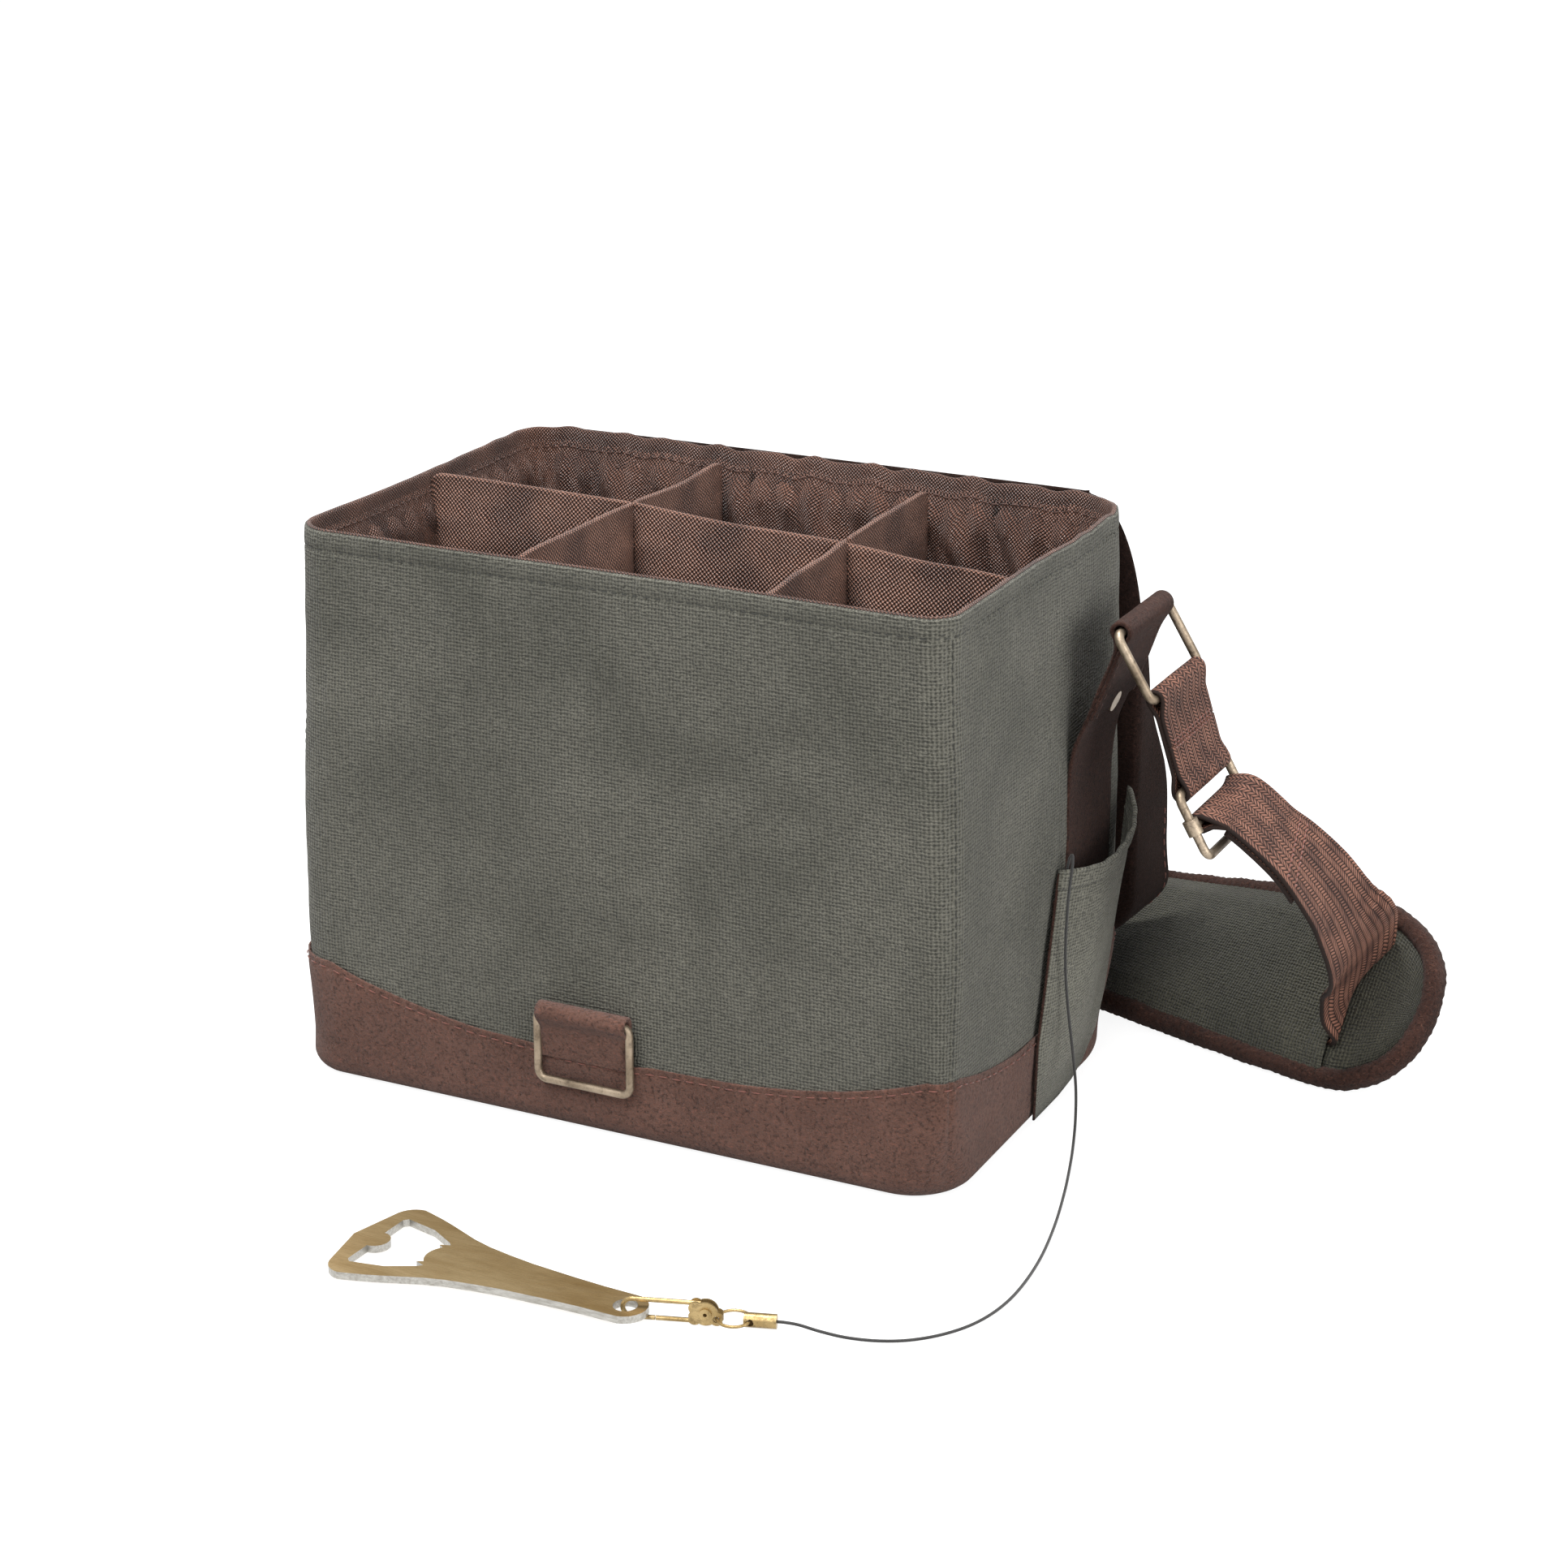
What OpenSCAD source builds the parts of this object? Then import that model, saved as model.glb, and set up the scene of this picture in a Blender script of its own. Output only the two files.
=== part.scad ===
// Cooler tote for six bottles, with a lid folded back, a shoulder strap and a tethered opener.
// The front is -Y, +Z is up, and the origin is the centre of the underside.

/* [Shell] */
// Outer width of the canvas box
shell_w = 300; // [280:1:330]
// Outer depth of the canvas box
shell_d = 194; // [184:1:214]
// Height of the rim
shell_h = 240; // [225:1:270]
// Radius of the four upright corners
corner_r = 22; // [16:1:30]
// Thickness of the waxed canvas
canvas_t = 1.5; // [1:0.1:2]
// Thickness of the foam walls and floor
foam_t = 5; // [3:0.5:8]
// Thickness of the nylon lining
lining_t = 0.8; // [0.5:0.1:1.2]
// Thickness of the stiff board in the base
board_t = 2.5; // [1.5:0.5:4]

/* [Base band] */
// Thickness of the suede
suede_t = 1.2; // [0.8:0.1:2]
// Height of the band at the middle of each wall
band_h = 38.5; // [30:0.5:50]
// Height of the band at the corners
band_corner_h = 54; // [44:0.5:66]
// Radius that rounds the band under the bag
base_round = 9; // [6:0.5:12]

/* [Dividers] */
// Thickness of a padded divider
divider_t = 7; // [5:0.5:9]
// Gap between the divider tops and the rim
divider_drop = 4.5; // [4:0.5:12]
// Distance of the left crossing from the middle
cross_left = 42; // [34:1:50]
// Distance of the right crossing from the middle
cross_right = 56; // [48:1:64]
// Distance of the long divider behind the middle
divider_back = 7.5; // [0:0.5:12]

/* [Lid] */
// Depth of the lid's front lip
lip_h = 46; // [36:1:56]
// Thickness of the lid padding
lid_pad_t = 3.4; // [2:0.1:3.6]
// Length of the closure strap
closure_l = 156; // [140:1:165]
// Width of the closure strap
closure_w = 37; // [30:0.5:38]
// Thickness of the closure strap
closure_t = 1.6; // [1:0.1:2.4]

/* [Front ring] */
// Inner width of the front ring
front_ring_w = 39; // [38:0.5:45]
// Height of the front ring between its wire centres
front_ring_h = 30; // [26:0.5:32]
// Diameter of the front ring's wire
front_wire_d = 3.4; // [2.8:0.1:4]
// Width of the tab that holds the ring
tab_w = 36; // [30:0.5:37]
// Distance of the ring from the middle of the front, to the left
tab_left = 8.2; // [0:0.1:12]

/* [Side strap] */
// Width of the suede side strap
side_strap_w = 48; // [40:1:49]
// Distance of the side strap behind the middle
side_back = 40; // [32:1:44]
// Inner width of the side ring
side_ring_w = 52; // [51:1:56]
// Height of the side ring between its wire centres
side_ring_h = 29.6; // [27:0.1:31]
// Diameter of the side ring's wire
side_wire_d = 3.8; // [3:0.1:4.5]
// Diameter of the rivet head
rivet_d = 9; // [7:0.5:11]

/* [Shoulder strap] */
// Width of the webbing
web_w = 49; // [40:1:50]
// Thickness of the webbing
web_t = 2; // [1.4:0.1:2.6]
// Length of the slider between its outer bars
slider_h = 27; // [26:0.5:30]
// Width of the shoulder pad
pad_w = 80; // [70:1:84]
// Thickness of the shoulder pad's base
pad_t = 9; // [6:0.5:11]
// Diameter of the binding round the pad
binding_d = 7; // [5:0.5:8]

/* [Pocket] */
// Width of the side pocket
pocket_w = 84; // [76:1:90]
// Height of the pocket's mouth at its front seam
pocket_front_h = 107; // [98:1:112]
// Height of the pocket's mouth at its back seam
pocket_back_h = 118; // [108:1:124]
// How far the pocket's mouth stands off the wall
pocket_gape = 13; // [10:0.5:16]

/* [Opener] */
// Length of the opener
opener_l = 131; // [115:1:140]
// Width of the opener's head
opener_head_w = 57; // [50:1:62]
// Width of the opener's tail
opener_tail_w = 17.4; // [16:0.2:20]
// Thickness of the opener
opener_t = 3; // [2:0.1:3.2]
// Diameter of the hole in the tail
opener_hole_d = 9.3; // [8.6:0.1:10]
// Diameter of the snap hook's wire
hook_wire_d = 1.8; // [1.4:0.1:2]
// Diameter of the tether cord
cord_d = 1.2; // [1:0.1:1.4]

/* [Hidden] */
$fn = 48;

// Clearances
layer_gap = 0.2;
seam_gap = 0.15;
soft_gap = 0.3;
skin_gap = 0.4;
bar_gap = 0.3;
run_gap = 0.08;
overrun = 1;

// Colours
canvas_colour = "#5b6155";
suede_colour = "#4a2f28";
nylon_colour = "#6d4b40";
brass_colour = "#8d7f66";
opener_colour = "#a58a52";
foam_colour = "#d8d8d4";

half_w = shell_w / 2;
half_d = shell_d / 2;
foam_out = canvas_t + layer_gap;
lining_out = foam_out + foam_t + layer_gap;
lining_in = lining_out + lining_t;

// Heights of the layers of the floor
board_z = suede_t + layer_gap;
foam_floor_z = board_z + board_t + layer_gap;
lining_floor_z = foam_floor_z + foam_t + layer_gap;
floor_top = lining_floor_z + lining_t;
wall_z = base_round + overrun;

// A rectangle with round corners, centred
module round_rect(w, d, r) {
    square([w - 2 * r, d], center = true);
    square([w, d - 2 * r], center = true);
    for (x = [-1, 1], y = [-1, 1])
        translate([x * (w / 2 - r), y * (d / 2 - r)]) circle(r);
}

// The round rectangle of the shell, moved in from the canvas face
module shell_outline(inset) {
    round_rect(shell_w - 2 * inset, shell_d - 2 * inset, corner_r - inset);
}

// An upright wall between two insets
module wall_ring(outer, inner, z0, z1) {
    translate([0, 0, z0]) linear_extrude(z1 - z0) difference() {
        shell_outline(outer);
        shell_outline(inner);
    }
}

// The part of the plan that belongs to one wall, between the corner seams
module wall_sector(side) {
    cx = half_w - corner_r;
    cy = half_d - corner_r;
    reach = 2 * corner_r;
    deep = shell_h + 2 * overrun;
    translate([0, 0, -overrun]) linear_extrude(deep)
        if (side == "front" || side == "back")
            mirror([0, side == "back" ? 1 : 0, 0]) translate([0, -seam_gap])
                polygon([[-cx, -cy], [-cx - reach, -cy - reach], [cx + reach, -cy - reach], [cx, -cy]]);
        else
            mirror([side == "left" ? 1 : 0, 0, 0]) translate([seam_gap, 0])
                polygon([[cx, -cy], [cx + reach, -cy - reach], [cx + reach, cy + reach], [cx, cy]]);
}

module canvas_wall(side) {
    color(canvas_colour) intersection() {
        wall_ring(0, canvas_t, wall_z, shell_h);
        wall_sector(side);
    }
}

module foam_wall(side) {
    color(foam_colour) intersection() {
        wall_ring(foam_out, foam_out + foam_t, wall_z, shell_h - lining_t);
        wall_sector(side);
    }
}

module canvas_front() { canvas_wall("front"); }
module canvas_back() { canvas_wall("back"); }
module canvas_left() { canvas_wall("left"); }
module canvas_right() { canvas_wall("right"); }
module foam_front() { foam_wall("front"); }
module foam_back() { foam_wall("back"); }
module foam_left() { foam_wall("left"); }
module foam_right() { foam_wall("right"); }

// Base band: a tray rounded underneath, whose top edge dips at the middle of each wall
band_out = layer_gap + suede_t;
band_rise = band_corner_h - band_h;

// Radius of the arc that rises by band_rise over half a wall
function dip_radius(half) = (half * half + band_rise * band_rise) / (2 * band_rise);

module tray_profile(w, z0, r) {
    tall = 2 * band_corner_h;
    translate([0, z0 + tall / 2]) round_rect(w, tall, r);
}

// The tray's outer or inner body: the plan cut by a rounded profile from the front and the side
module tray_body(out, z0, r) {
    intersection() {
        linear_extrude(band_corner_h) shell_outline(-out);
        rotate([90, 0, 0]) linear_extrude(2 * shell_d, center = true)
            tray_profile(shell_w + 2 * out, z0, r);
        rotate([90, 0, 90]) linear_extrude(2 * shell_w, center = true)
            tray_profile(shell_d + 2 * out, z0, r);
    }
}

module band_dip(along, half, depth) {
    r = dip_radius(half);
    translate([0, 0, band_h + r]) rotate(along == "x" ? [90, 0, 0] : [0, 90, 0])
        cylinder(h = depth, r = r, center = true, $fn = 180);
}

module base_band(side) {
    front = side == "front" || side == "back";
    color(suede_colour) difference() {
        intersection() {
            tray_body(band_out, 0, base_round);
            wall_sector_low(side);
        }
        tray_body(layer_gap, suede_t, base_round - suede_t);
        if (front) band_dip("x", half_w, 2 * shell_d);
        else band_dip("y", half_d, 2 * shell_w);
    }
}

// The sector of one wall, reaching in under the floor as far as the bottom panel's seam
module wall_sector_low(side) {
    lap = base_round + overrun;
    difference() {
        wall_sector(side);
        translate([0, 0, -overrun]) linear_extrude(band_corner_h)
            square([shell_w - 2 * lap, shell_d - 2 * lap], center = true);
    }
}

module base_band_front() { base_band("front"); }
module base_band_back() { base_band("back"); }
module base_band_left() { base_band("left"); }
module base_band_right() { base_band("right"); }

module bottom_panel() {
    inset = base_round + overrun + layer_gap;
    color(suede_colour) linear_extrude(suede_t)
        square([shell_w - 2 * inset, shell_d - 2 * inset], center = true);
}

module floor_slab(z, t, inset, colour) {
    color(colour) translate([0, 0, z]) linear_extrude(t)
        round_rect(shell_w - 2 * inset, shell_d - 2 * inset, corner_r - inset);
}

module base_board() { floor_slab(board_z, board_t, base_round, foam_colour); }
module foam_floor() { floor_slab(foam_floor_z, foam_t, foam_out + suede_t, foam_colour); }
module lining_floor() { floor_slab(lining_floor_z, lining_t, lining_out + layer_gap, nylon_colour); }

module lining_walls() {
    color(nylon_colour) wall_ring(lining_out, lining_in, lining_floor_z + lining_t + layer_gap, shell_h);
}

// Dividers: lens shaped sections with thin seams at the crossings
seam_t = 1.6;
divider_z = floor_top + soft_gap;
divider_top = shell_h - divider_drop;
divider_clear = 2;
divider_end = lining_in + divider_clear;
wedge_l = 9;

module divider_section(a, b) {
    s = seam_t / 2;
    m = divider_t / 2;
    polygon([[a, -s], [a + wedge_l, -m], [b - wedge_l, -m], [b, -s],
        [b, s], [b - wedge_l, m], [a + wedge_l, m], [a, s]]);
}

module divider_sections(cuts) {
    translate([0, 0, divider_z]) linear_extrude(divider_top - divider_z)
        for (i = [0 : len(cuts) - 2]) divider_section(cuts[i], cuts[i + 1]);
}

module divider_long() {
    end = half_w - divider_end;
    color(nylon_colour) translate([0, divider_back, 0])
        divider_sections([-end, -cross_left, cross_right, end]);
}

module divider_cross(x) {
    end = half_d - divider_end;
    color(nylon_colour) translate([x, 0, 0]) rotate([0, 0, 90]) {
        divider_sections([-end, divider_back - seam_t / 2 - soft_gap]);
        divider_sections([divider_back + seam_t / 2 + soft_gap, end]);
    }
}

module divider_cross_left() { divider_cross(-cross_left); }
module divider_cross_right() { divider_cross(cross_right); }

// Lid, drawn closed and then turned to hang behind the bag on its hinge seam
hinge_y = half_d + band_out + soft_gap + suede_t;
hinge_z = shell_h + soft_gap;
lid_in = -skin_gap;
lid_out = -skin_gap - suede_t;
lip_round = 12;
ear_l = 2.9 * lip_h;
ear_mid_h = 0.46 * lip_h;
ear_mid_l = 1.6 * lip_h;

module lid_rest() {
    translate([0, hinge_y, hinge_z]) rotate([90, 0, 0]) translate([0, -hinge_y, -hinge_z]) children();
}

// Side view of the skirt: full depth at the lip, tapering to nothing towards the hinge
module skirt_profile() {
    front = -half_d + lid_out - overrun;
    back = front + ear_l + overrun;
    low = hinge_z - lip_h;
    top = hinge_z + suede_t;
    polygon([[front, top], [front, low], [front + overrun + lip_round, low],
        [front + overrun + ear_mid_l, hinge_z - ear_mid_h], [back, hinge_z], [back, top]]);
}

module lid_skin() {
    color(suede_colour) lid_rest() {
        translate([0, 0, hinge_z]) linear_extrude(suede_t) intersection() {
            shell_outline(lid_out);
            translate([0, hinge_y - shell_d]) square([2 * shell_w, 2 * shell_d], center = true);
        }
        intersection() {
            translate([0, 0, hinge_z - lip_h]) linear_extrude(lip_h + suede_t / 2) difference() {
                shell_outline(lid_out);
                shell_outline(lid_in);
            }
            rotate([90, 0, 90]) linear_extrude(2 * shell_w, center = true) skirt_profile();
        }
    }
}

module lid_padding() {
    inset = lining_in + 10 * lining_t + 2 * suede_t;
    color(nylon_colour) lid_rest() translate([0, 0, hinge_z - lid_pad_t])
        linear_extrude(lid_pad_t) shell_outline(inset);
}

// Closure strap, hinged on the lip's free edge and sloping to the floor behind
closure_y = hinge_y + lip_h + soft_gap;
closure_z = hinge_z - hinge_y - half_d - skin_gap - suede_t / 2;
closure_fall = asin((closure_z - suede_t) / closure_l);

module closure_strap() {
    color(suede_colour) translate([-tab_left, closure_y, closure_z])
        rotate([-closure_fall, 0, 0]) translate([-closure_w / 2, soft_gap, -closure_t / 2])
            cube([closure_w, closure_l - soft_gap, closure_t]);
}

// A rectangular wire ring in the YZ plane, centred on its top bar, hanging down
module wire_ring(inner, height, wire, bend) {
    half = (inner + wire) / 2;
    r = wire / 2;
    for (z = [0, -height]) translate([0, 0, z]) rotate([90, 0, 0])
        cylinder(h = 2 * (half - bend), r = r, center = true, $fn = 32);
    for (y = [-half, half]) translate([0, y, bend - height])
        cylinder(h = height - 2 * bend, r = r, $fn = 32);
    for (y = [-1, 1], z = [0, 1]) translate([0, y * (half - bend), z ? -bend : bend - height])
        rotate([0, 90, 0]) rotate([0, 0, y > 0 ? (z ? 90 : 0) : (z ? 180 : 270)])
            rotate_extrude(angle = 90, $fn = 40) translate([bend, 0]) circle(r, $fn = 32);
}

// Front tab and ring
front_face = half_d + band_out + skin_gap;
front_loop_r = front_wire_d / 2 + bar_gap + suede_t;
front_bar_y = -front_face - front_loop_r;
tab_rise = 15;
tab_lap = 1;
front_bar_z = band_h + tab_rise;
tab_low = band_h - tab_lap;
front_bend = 4;

module front_tab() {
    color(suede_colour) translate([-tab_left, front_bar_y, front_bar_z]) difference() {
        union() {
            rotate([0, 90, 0]) cylinder(h = tab_w, r = front_loop_r, center = true);
            translate([-tab_w / 2, front_loop_r - 2 * suede_t, tab_low - front_bar_z])
                cube([tab_w, 2 * suede_t, front_bar_z - tab_low]);
        }
        rotate([0, 90, 0]) cylinder(h = tab_w + overrun, r = front_wire_d / 2 + bar_gap, center = true);
    }
}

module front_ring() {
    color(brass_colour) translate([-tab_left, front_bar_y, front_bar_z]) rotate([0, 0, -90])
        wire_ring(front_ring_w, front_ring_h, front_wire_d, front_bend);
}

// Side strap: up the wall, leaning out to a loop round the ring's top bar, and back down
side_face = half_w + soft_gap;
loop_in = side_wire_d / 2 + bar_gap;
loop_out = loop_in + suede_t;
lean_z = 0.62 * shell_h;
strap_out = 21;
strap_up = 58.2;
side_bar_x = side_face + strap_out;
side_bar_z = lean_z + strap_up;
strap_low_z = band_corner_h;
lean_angle = atan2(side_bar_x - side_face, side_bar_z - lean_z);
fold_l = 36;
side_bend = 4;

module side_strap() {
    lean_l = norm([side_bar_x - side_face, side_bar_z - lean_z]);
    color(suede_colour) translate([0, side_back + side_strap_w / 2, 0]) difference() {
        rotate([90, 0, 0]) linear_extrude(side_strap_w) difference() {
            union() {
                translate([side_face, strap_low_z]) square([suede_t, lean_z - strap_low_z + overrun]);
                translate([side_face, lean_z]) rotate(-lean_angle) {
                    square([suede_t, lean_l - loop_in]);
                    translate([suede_t, lean_l - loop_in - fold_l]) square([suede_t, fold_l]);
                }
                translate([side_bar_x, side_bar_z]) circle(loop_out);
            }
            translate([side_bar_x, side_bar_z]) circle(loop_in);
            translate([side_face - 2 * shell_w, 0]) square([2 * shell_w, shell_h]);
        }
        translate([side_face, -side_strap_w / 2, lean_z]) rotate([0, lean_angle, 0])
            translate([0, 0, rivet_z]) rotate([0, 90, 0])
                cylinder(h = 4 * suede_t, r = rivet_shank + run_gap, center = true);
    }
}

rivet_shank = 1.6;
rivet_head_t = 1;
rivet_z = 24;

module strap_rivet() {
    color(brass_colour) translate([side_face, side_back, lean_z]) rotate([0, lean_angle, 0])
        translate([0, 0, rivet_z]) rotate([0, 90, 0]) {
            translate([0, 0, -rivet_head_t]) cylinder(h = rivet_head_t, r = rivet_d / 2);
            translate([0, 0, -rivet_head_t]) cylinder(h = 2 * suede_t + 2 * rivet_head_t, r = rivet_shank);
            translate([0, 0, 2 * suede_t]) cylinder(h = rivet_head_t, r = rivet_d / 2);
        }
}

module other_side() { mirror([1, 0, 0]) children(); }
module side_strap_right() { side_strap(); }
module side_strap_left() { other_side() side_strap(); }
module strap_rivet_right() { strap_rivet(); }
module strap_rivet_left() { other_side() strap_rivet(); }

// Side ring, hanging outward from its top bar
ring_lean = 31.6;

module side_ring() {
    color(brass_colour) translate([side_bar_x, side_back, side_bar_z]) rotate([0, -ring_lean, 0])
        wire_ring(side_ring_w, side_ring_h, side_wire_d, side_bend);
}

module side_ring_right() { side_ring(); }
module side_ring_left() { other_side() side_ring(); }

low_bar_x = side_bar_x + side_ring_h * sin(ring_lean);
low_bar_z = side_bar_z - side_ring_h * cos(ring_lean);

// Connector webbing: a doubled band looped round the ring's low bar and the slider's top bar
connector_out = 12.5;
connector_drop = 37.5;
slider_bar_x = low_bar_x + connector_out;
slider_bar_z = low_bar_z - connector_drop;
conn_web_t = 1.2;

module web_loop(x, z, wire) {
    translate([x, z]) circle(wire / 2 + bar_gap + conn_web_t);
}

module web_hole(x, z, wire) {
    translate([x, z]) circle(wire / 2 + bar_gap);
}

// A webbing loop that wraps one bar
module bar_loop(x, z) {
    translate([0, side_back + web_w / 2, 0]) rotate([90, 0, 0]) linear_extrude(web_w) difference() {
        web_loop(x, z, side_wire_d);
        web_hole(x, z, side_wire_d);
    }
}

module connector_webbing() {
    dx = slider_bar_x - low_bar_x;
    dz = slider_bar_z - low_bar_z;
    color(nylon_colour) translate([0, side_back + web_w / 2, 0]) rotate([90, 0, 0])
        linear_extrude(web_w) difference() {
            union() {
                web_loop(low_bar_x, low_bar_z, side_wire_d);
                web_loop(slider_bar_x, slider_bar_z, side_wire_d);
                translate([low_bar_x, low_bar_z]) rotate(atan2(dz, dx))
                    translate([0, -conn_web_t]) square([norm([dx, dz]), 2 * conn_web_t]);
            }
            web_hole(low_bar_x, low_bar_z, side_wire_d);
            web_hole(slider_bar_x, slider_bar_z, side_wire_d);
        }
}

// Slider: a wire frame with a middle bar and a ball collar on its front leg
slider_lean = 30;
slider_mid = 0.5 * slider_h;
collar_r = 3.2;

module slider() {
    half = (side_ring_w + side_wire_d) / 2;
    color(brass_colour) translate([slider_bar_x, side_back, slider_bar_z]) rotate([0, -slider_lean, 0]) {
        wire_ring(side_ring_w, slider_h, side_wire_d, side_bend);
        translate([0, 0, -slider_mid]) rotate([90, 0, 0])
            cylinder(h = 2 * half, r = side_wire_d / 2, center = true, $fn = 32);
        for (y = [-half, half]) translate([0, y, -slider_mid - collar_r])
            cylinder(h = 2 * collar_r, r = collar_r);
    }
}

mid_bar_x = slider_bar_x + slider_mid * sin(slider_lean);
mid_bar_z = slider_bar_z - slider_mid * cos(slider_lean);

// Soft bands are swept: each station has a centre, a width direction and half a width
function unit(v) = v / norm(v);
function band_tangent(c, i) = unit(c[min(i + 1, len(c) - 1)] - c[max(i - 1, 0)]);

// The four corners of a band's section, at n0 and n1 from its centre sheet
function band_corners(c, w, h, n0, n1, i) =
    let (n = unit(cross(band_tangent(c, i), w)), a = w * h)
    [c[i] - a + n * n0, c[i] + a + n * n0, c[i] + a + n * n1, c[i] - a + n * n1];

module sweep_sections(sections) {
    k = len(sections[0]);
    n = len(sections);
    points = [for (s = sections) for (p = s) p];
    faces = concat(
        [for (j = [1 : k - 2]) [0, j, j + 1]],
        [for (j = [1 : k - 2]) [(n - 1) * k, (n - 1) * k + j + 1, (n - 1) * k + j]],
        [for (i = [0 : n - 2]) for (j = [0 : k - 1])
            [i * k + j, (i + 1) * k + j, (i + 1) * k + (j + 1) % k]],
        [for (i = [0 : n - 2]) for (j = [0 : k - 1])
            [i * k + j, (i + 1) * k + (j + 1) % k, i * k + (j + 1) % k]]);
    polyhedron(points, faces, convexity = 6);
}

// Catmull-Rom interpolation through a list of stations, in steps
function spline_at(p, i, t) =
    let (a = p[max(i - 1, 0)], b = p[i], c = p[i + 1], d = p[min(i + 2, len(p) - 1)])
    0.5 * (2 * b + (c - a) * t + (2 * a - 5 * b + 4 * c - d) * t * t + (3 * b - a - 3 * c + d) * t * t * t);
function spline(p, steps) =
    concat([for (i = [0 : len(p) - 2]) for (s = [0 : steps - 1]) spline_at(p, i, s / steps)], [p[len(p) - 1]]);

size = [shell_w, shell_d, shell_h];
function scaled(share) = [share[0] * size[0], share[1] * size[1], share[2] * size[2]];

// Pad: its middle line on the floor plan, from the left tip to the right tip, as shares of the
// shell's width and depth, each with its tilt, and its half width as a share of the pad's
pad_shares = [[0.07, 0.850, 0.10], [0.083, 0.850, 0.55], [0.115, 0.848, 0.83], [0.155, 0.845, 1],
    [0.25, 0.835, 1], [0.36, 0.80, 1], [0.47, 0.745, 1], [0.57, 0.675, 1], [0.67, 0.605, 1],
    [0.76, 0.548, 1], [0.84, 0.51, 1], [0.88, 0.497, 0.92], [0.915, 0.485, 0.72],
    [0.94, 0.476, 0.42], [0.948, 0.473, 0.10]];
pad_tilts = [12, 12, 13, 14, 17, 21, 27, 35, 43, 49, 52, 52, 52, 52, 52];
pad_half = pad_w / 2 - binding_d / 2;

rim_out = 0.28 * binding_d;
binding_t = pad_t / 2 + suede_t;
function binding_reach(tilt) = norm([binding_d / 2 * sin(tilt), binding_t * cos(tilt)]);
pad_steps = 3;
pad_fine = spline([for (i = [0 : len(pad_shares) - 1]) concat(pad_shares[i], [pad_tilts[i]])], pad_steps);
function pad_tilt(i) = pad_fine[i][3];
function pad_reach(i) = pad_half * pad_fine[i][2];
function pad_centre(i) =
    [pad_fine[i][0] * shell_w, pad_fine[i][1] * shell_d,
        soft_gap + binding_reach(pad_tilt(i)) + (pad_half + rim_out) * sin(pad_tilt(i))];
pad_line = [for (i = [0 : len(pad_fine) - 1]) pad_centre(i)];
function pad_heading(i) = band_tangent([for (p = pad_line) [p[0], p[1], 0]], i);
function pad_width(i) =
    let (t = pad_heading(i), side = [-t[1], t[0], 0])
    side * cos(pad_tilt(i)) + [0, 0, sin(pad_tilt(i))];
function pad_normal(i) = unit(cross(band_tangent(pad_line, i), pad_width(i)));

// A closed oval section of the pad between two heights above its middle sheet
function pad_slope(i) =
    let (a = max(i - 1, 0), b = min(i + 1, len(pad_line) - 1), run = norm(pad_line[b] - pad_line[a]))
    norm([run, pad_reach(b) - pad_reach(a)]) / run;
function pad_section(i, low, high) =
    let (h = pad_reach(i) + rim_out - (binding_d / 2 + soft_gap) * pad_slope(i), w = pad_width(i), n = pad_normal(i),
        mid = (low + high) / 2, thick = (high - low) / 2,
        ease = 0.55 + 0.45 * min(1, pad_fine[i][2]))
    [for (s = [0 : 11]) let (a = s * 30)
        pad_line[i] + w * h * pow_signed(cos(a), 0.8) + n * (mid + ease * thick * pow_signed(sin(a), 0.8))];
function pow_signed(v, e) = sign(v) * pow(abs(v), e);

web_level = pad_t / 2 + soft_gap;
cover_level = web_level + web_t + soft_gap;

// The base stops short of the pad's two tips, which the binding closes
base_from = pad_steps + 2;
base_to = pad_steps + 2;

module pad_base() {
    color(canvas_colour) sweep_sections(
        [for (i = [base_from : len(pad_line) - 1 - base_to]) pad_section(i, -pad_t / 2, pad_t / 2)]);
}

// The cover spans the pad between its two hemmed ends, crowned over the webbing
cover_from = 2 * pad_steps;
cover_to = 10 * pad_steps;
cover_t = 1.6;

module pad_cover() {
    color(canvas_colour) sheet_body([for (i = [cover_from : cover_to])
        let (h = pad_reach(i) - soft_gap, w = pad_width(i), n = pad_normal(i), flat = (web_w / 2 + 4 * soft_gap) / h,
            stops = [-1, -(1 + flat) / 2, -flat, 0, flat, (1 + flat) / 2, 1])
        concat(
            [for (s = stops) pad_line[i] + w * h * s + n * (cover_level + cover_t - cover_drop(s, flat))],
            [for (k = [len(stops) - 1 : -1 : 0])
                pad_line[i] + w * h * stops[k] + n * (cover_level - cover_drop(stops[k], flat))])]);
}
function cover_drop(s, flat) = (cover_level - cover_rim) * pow(max(0, abs(s) - flat) / (1 - flat), 1.4);
cover_rim = 0.62 * pad_t;

// Binding: a round edge swept all round the pad
function pad_rim(i, side) = pad_line[i] + pad_width(i) * side * (pad_reach(i) + rim_out);
binding_path = let (n = len(pad_line) - 1)
    concat([for (i = [0 : n]) pad_rim(i, -1)], [for (i = [n : -1 : 0]) pad_rim(i, 1)]);

function loop_tangent(p, i) = unit(p[(i + 1) % len(p)] - p[(i + len(p) - 1) % len(p)]);

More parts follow.
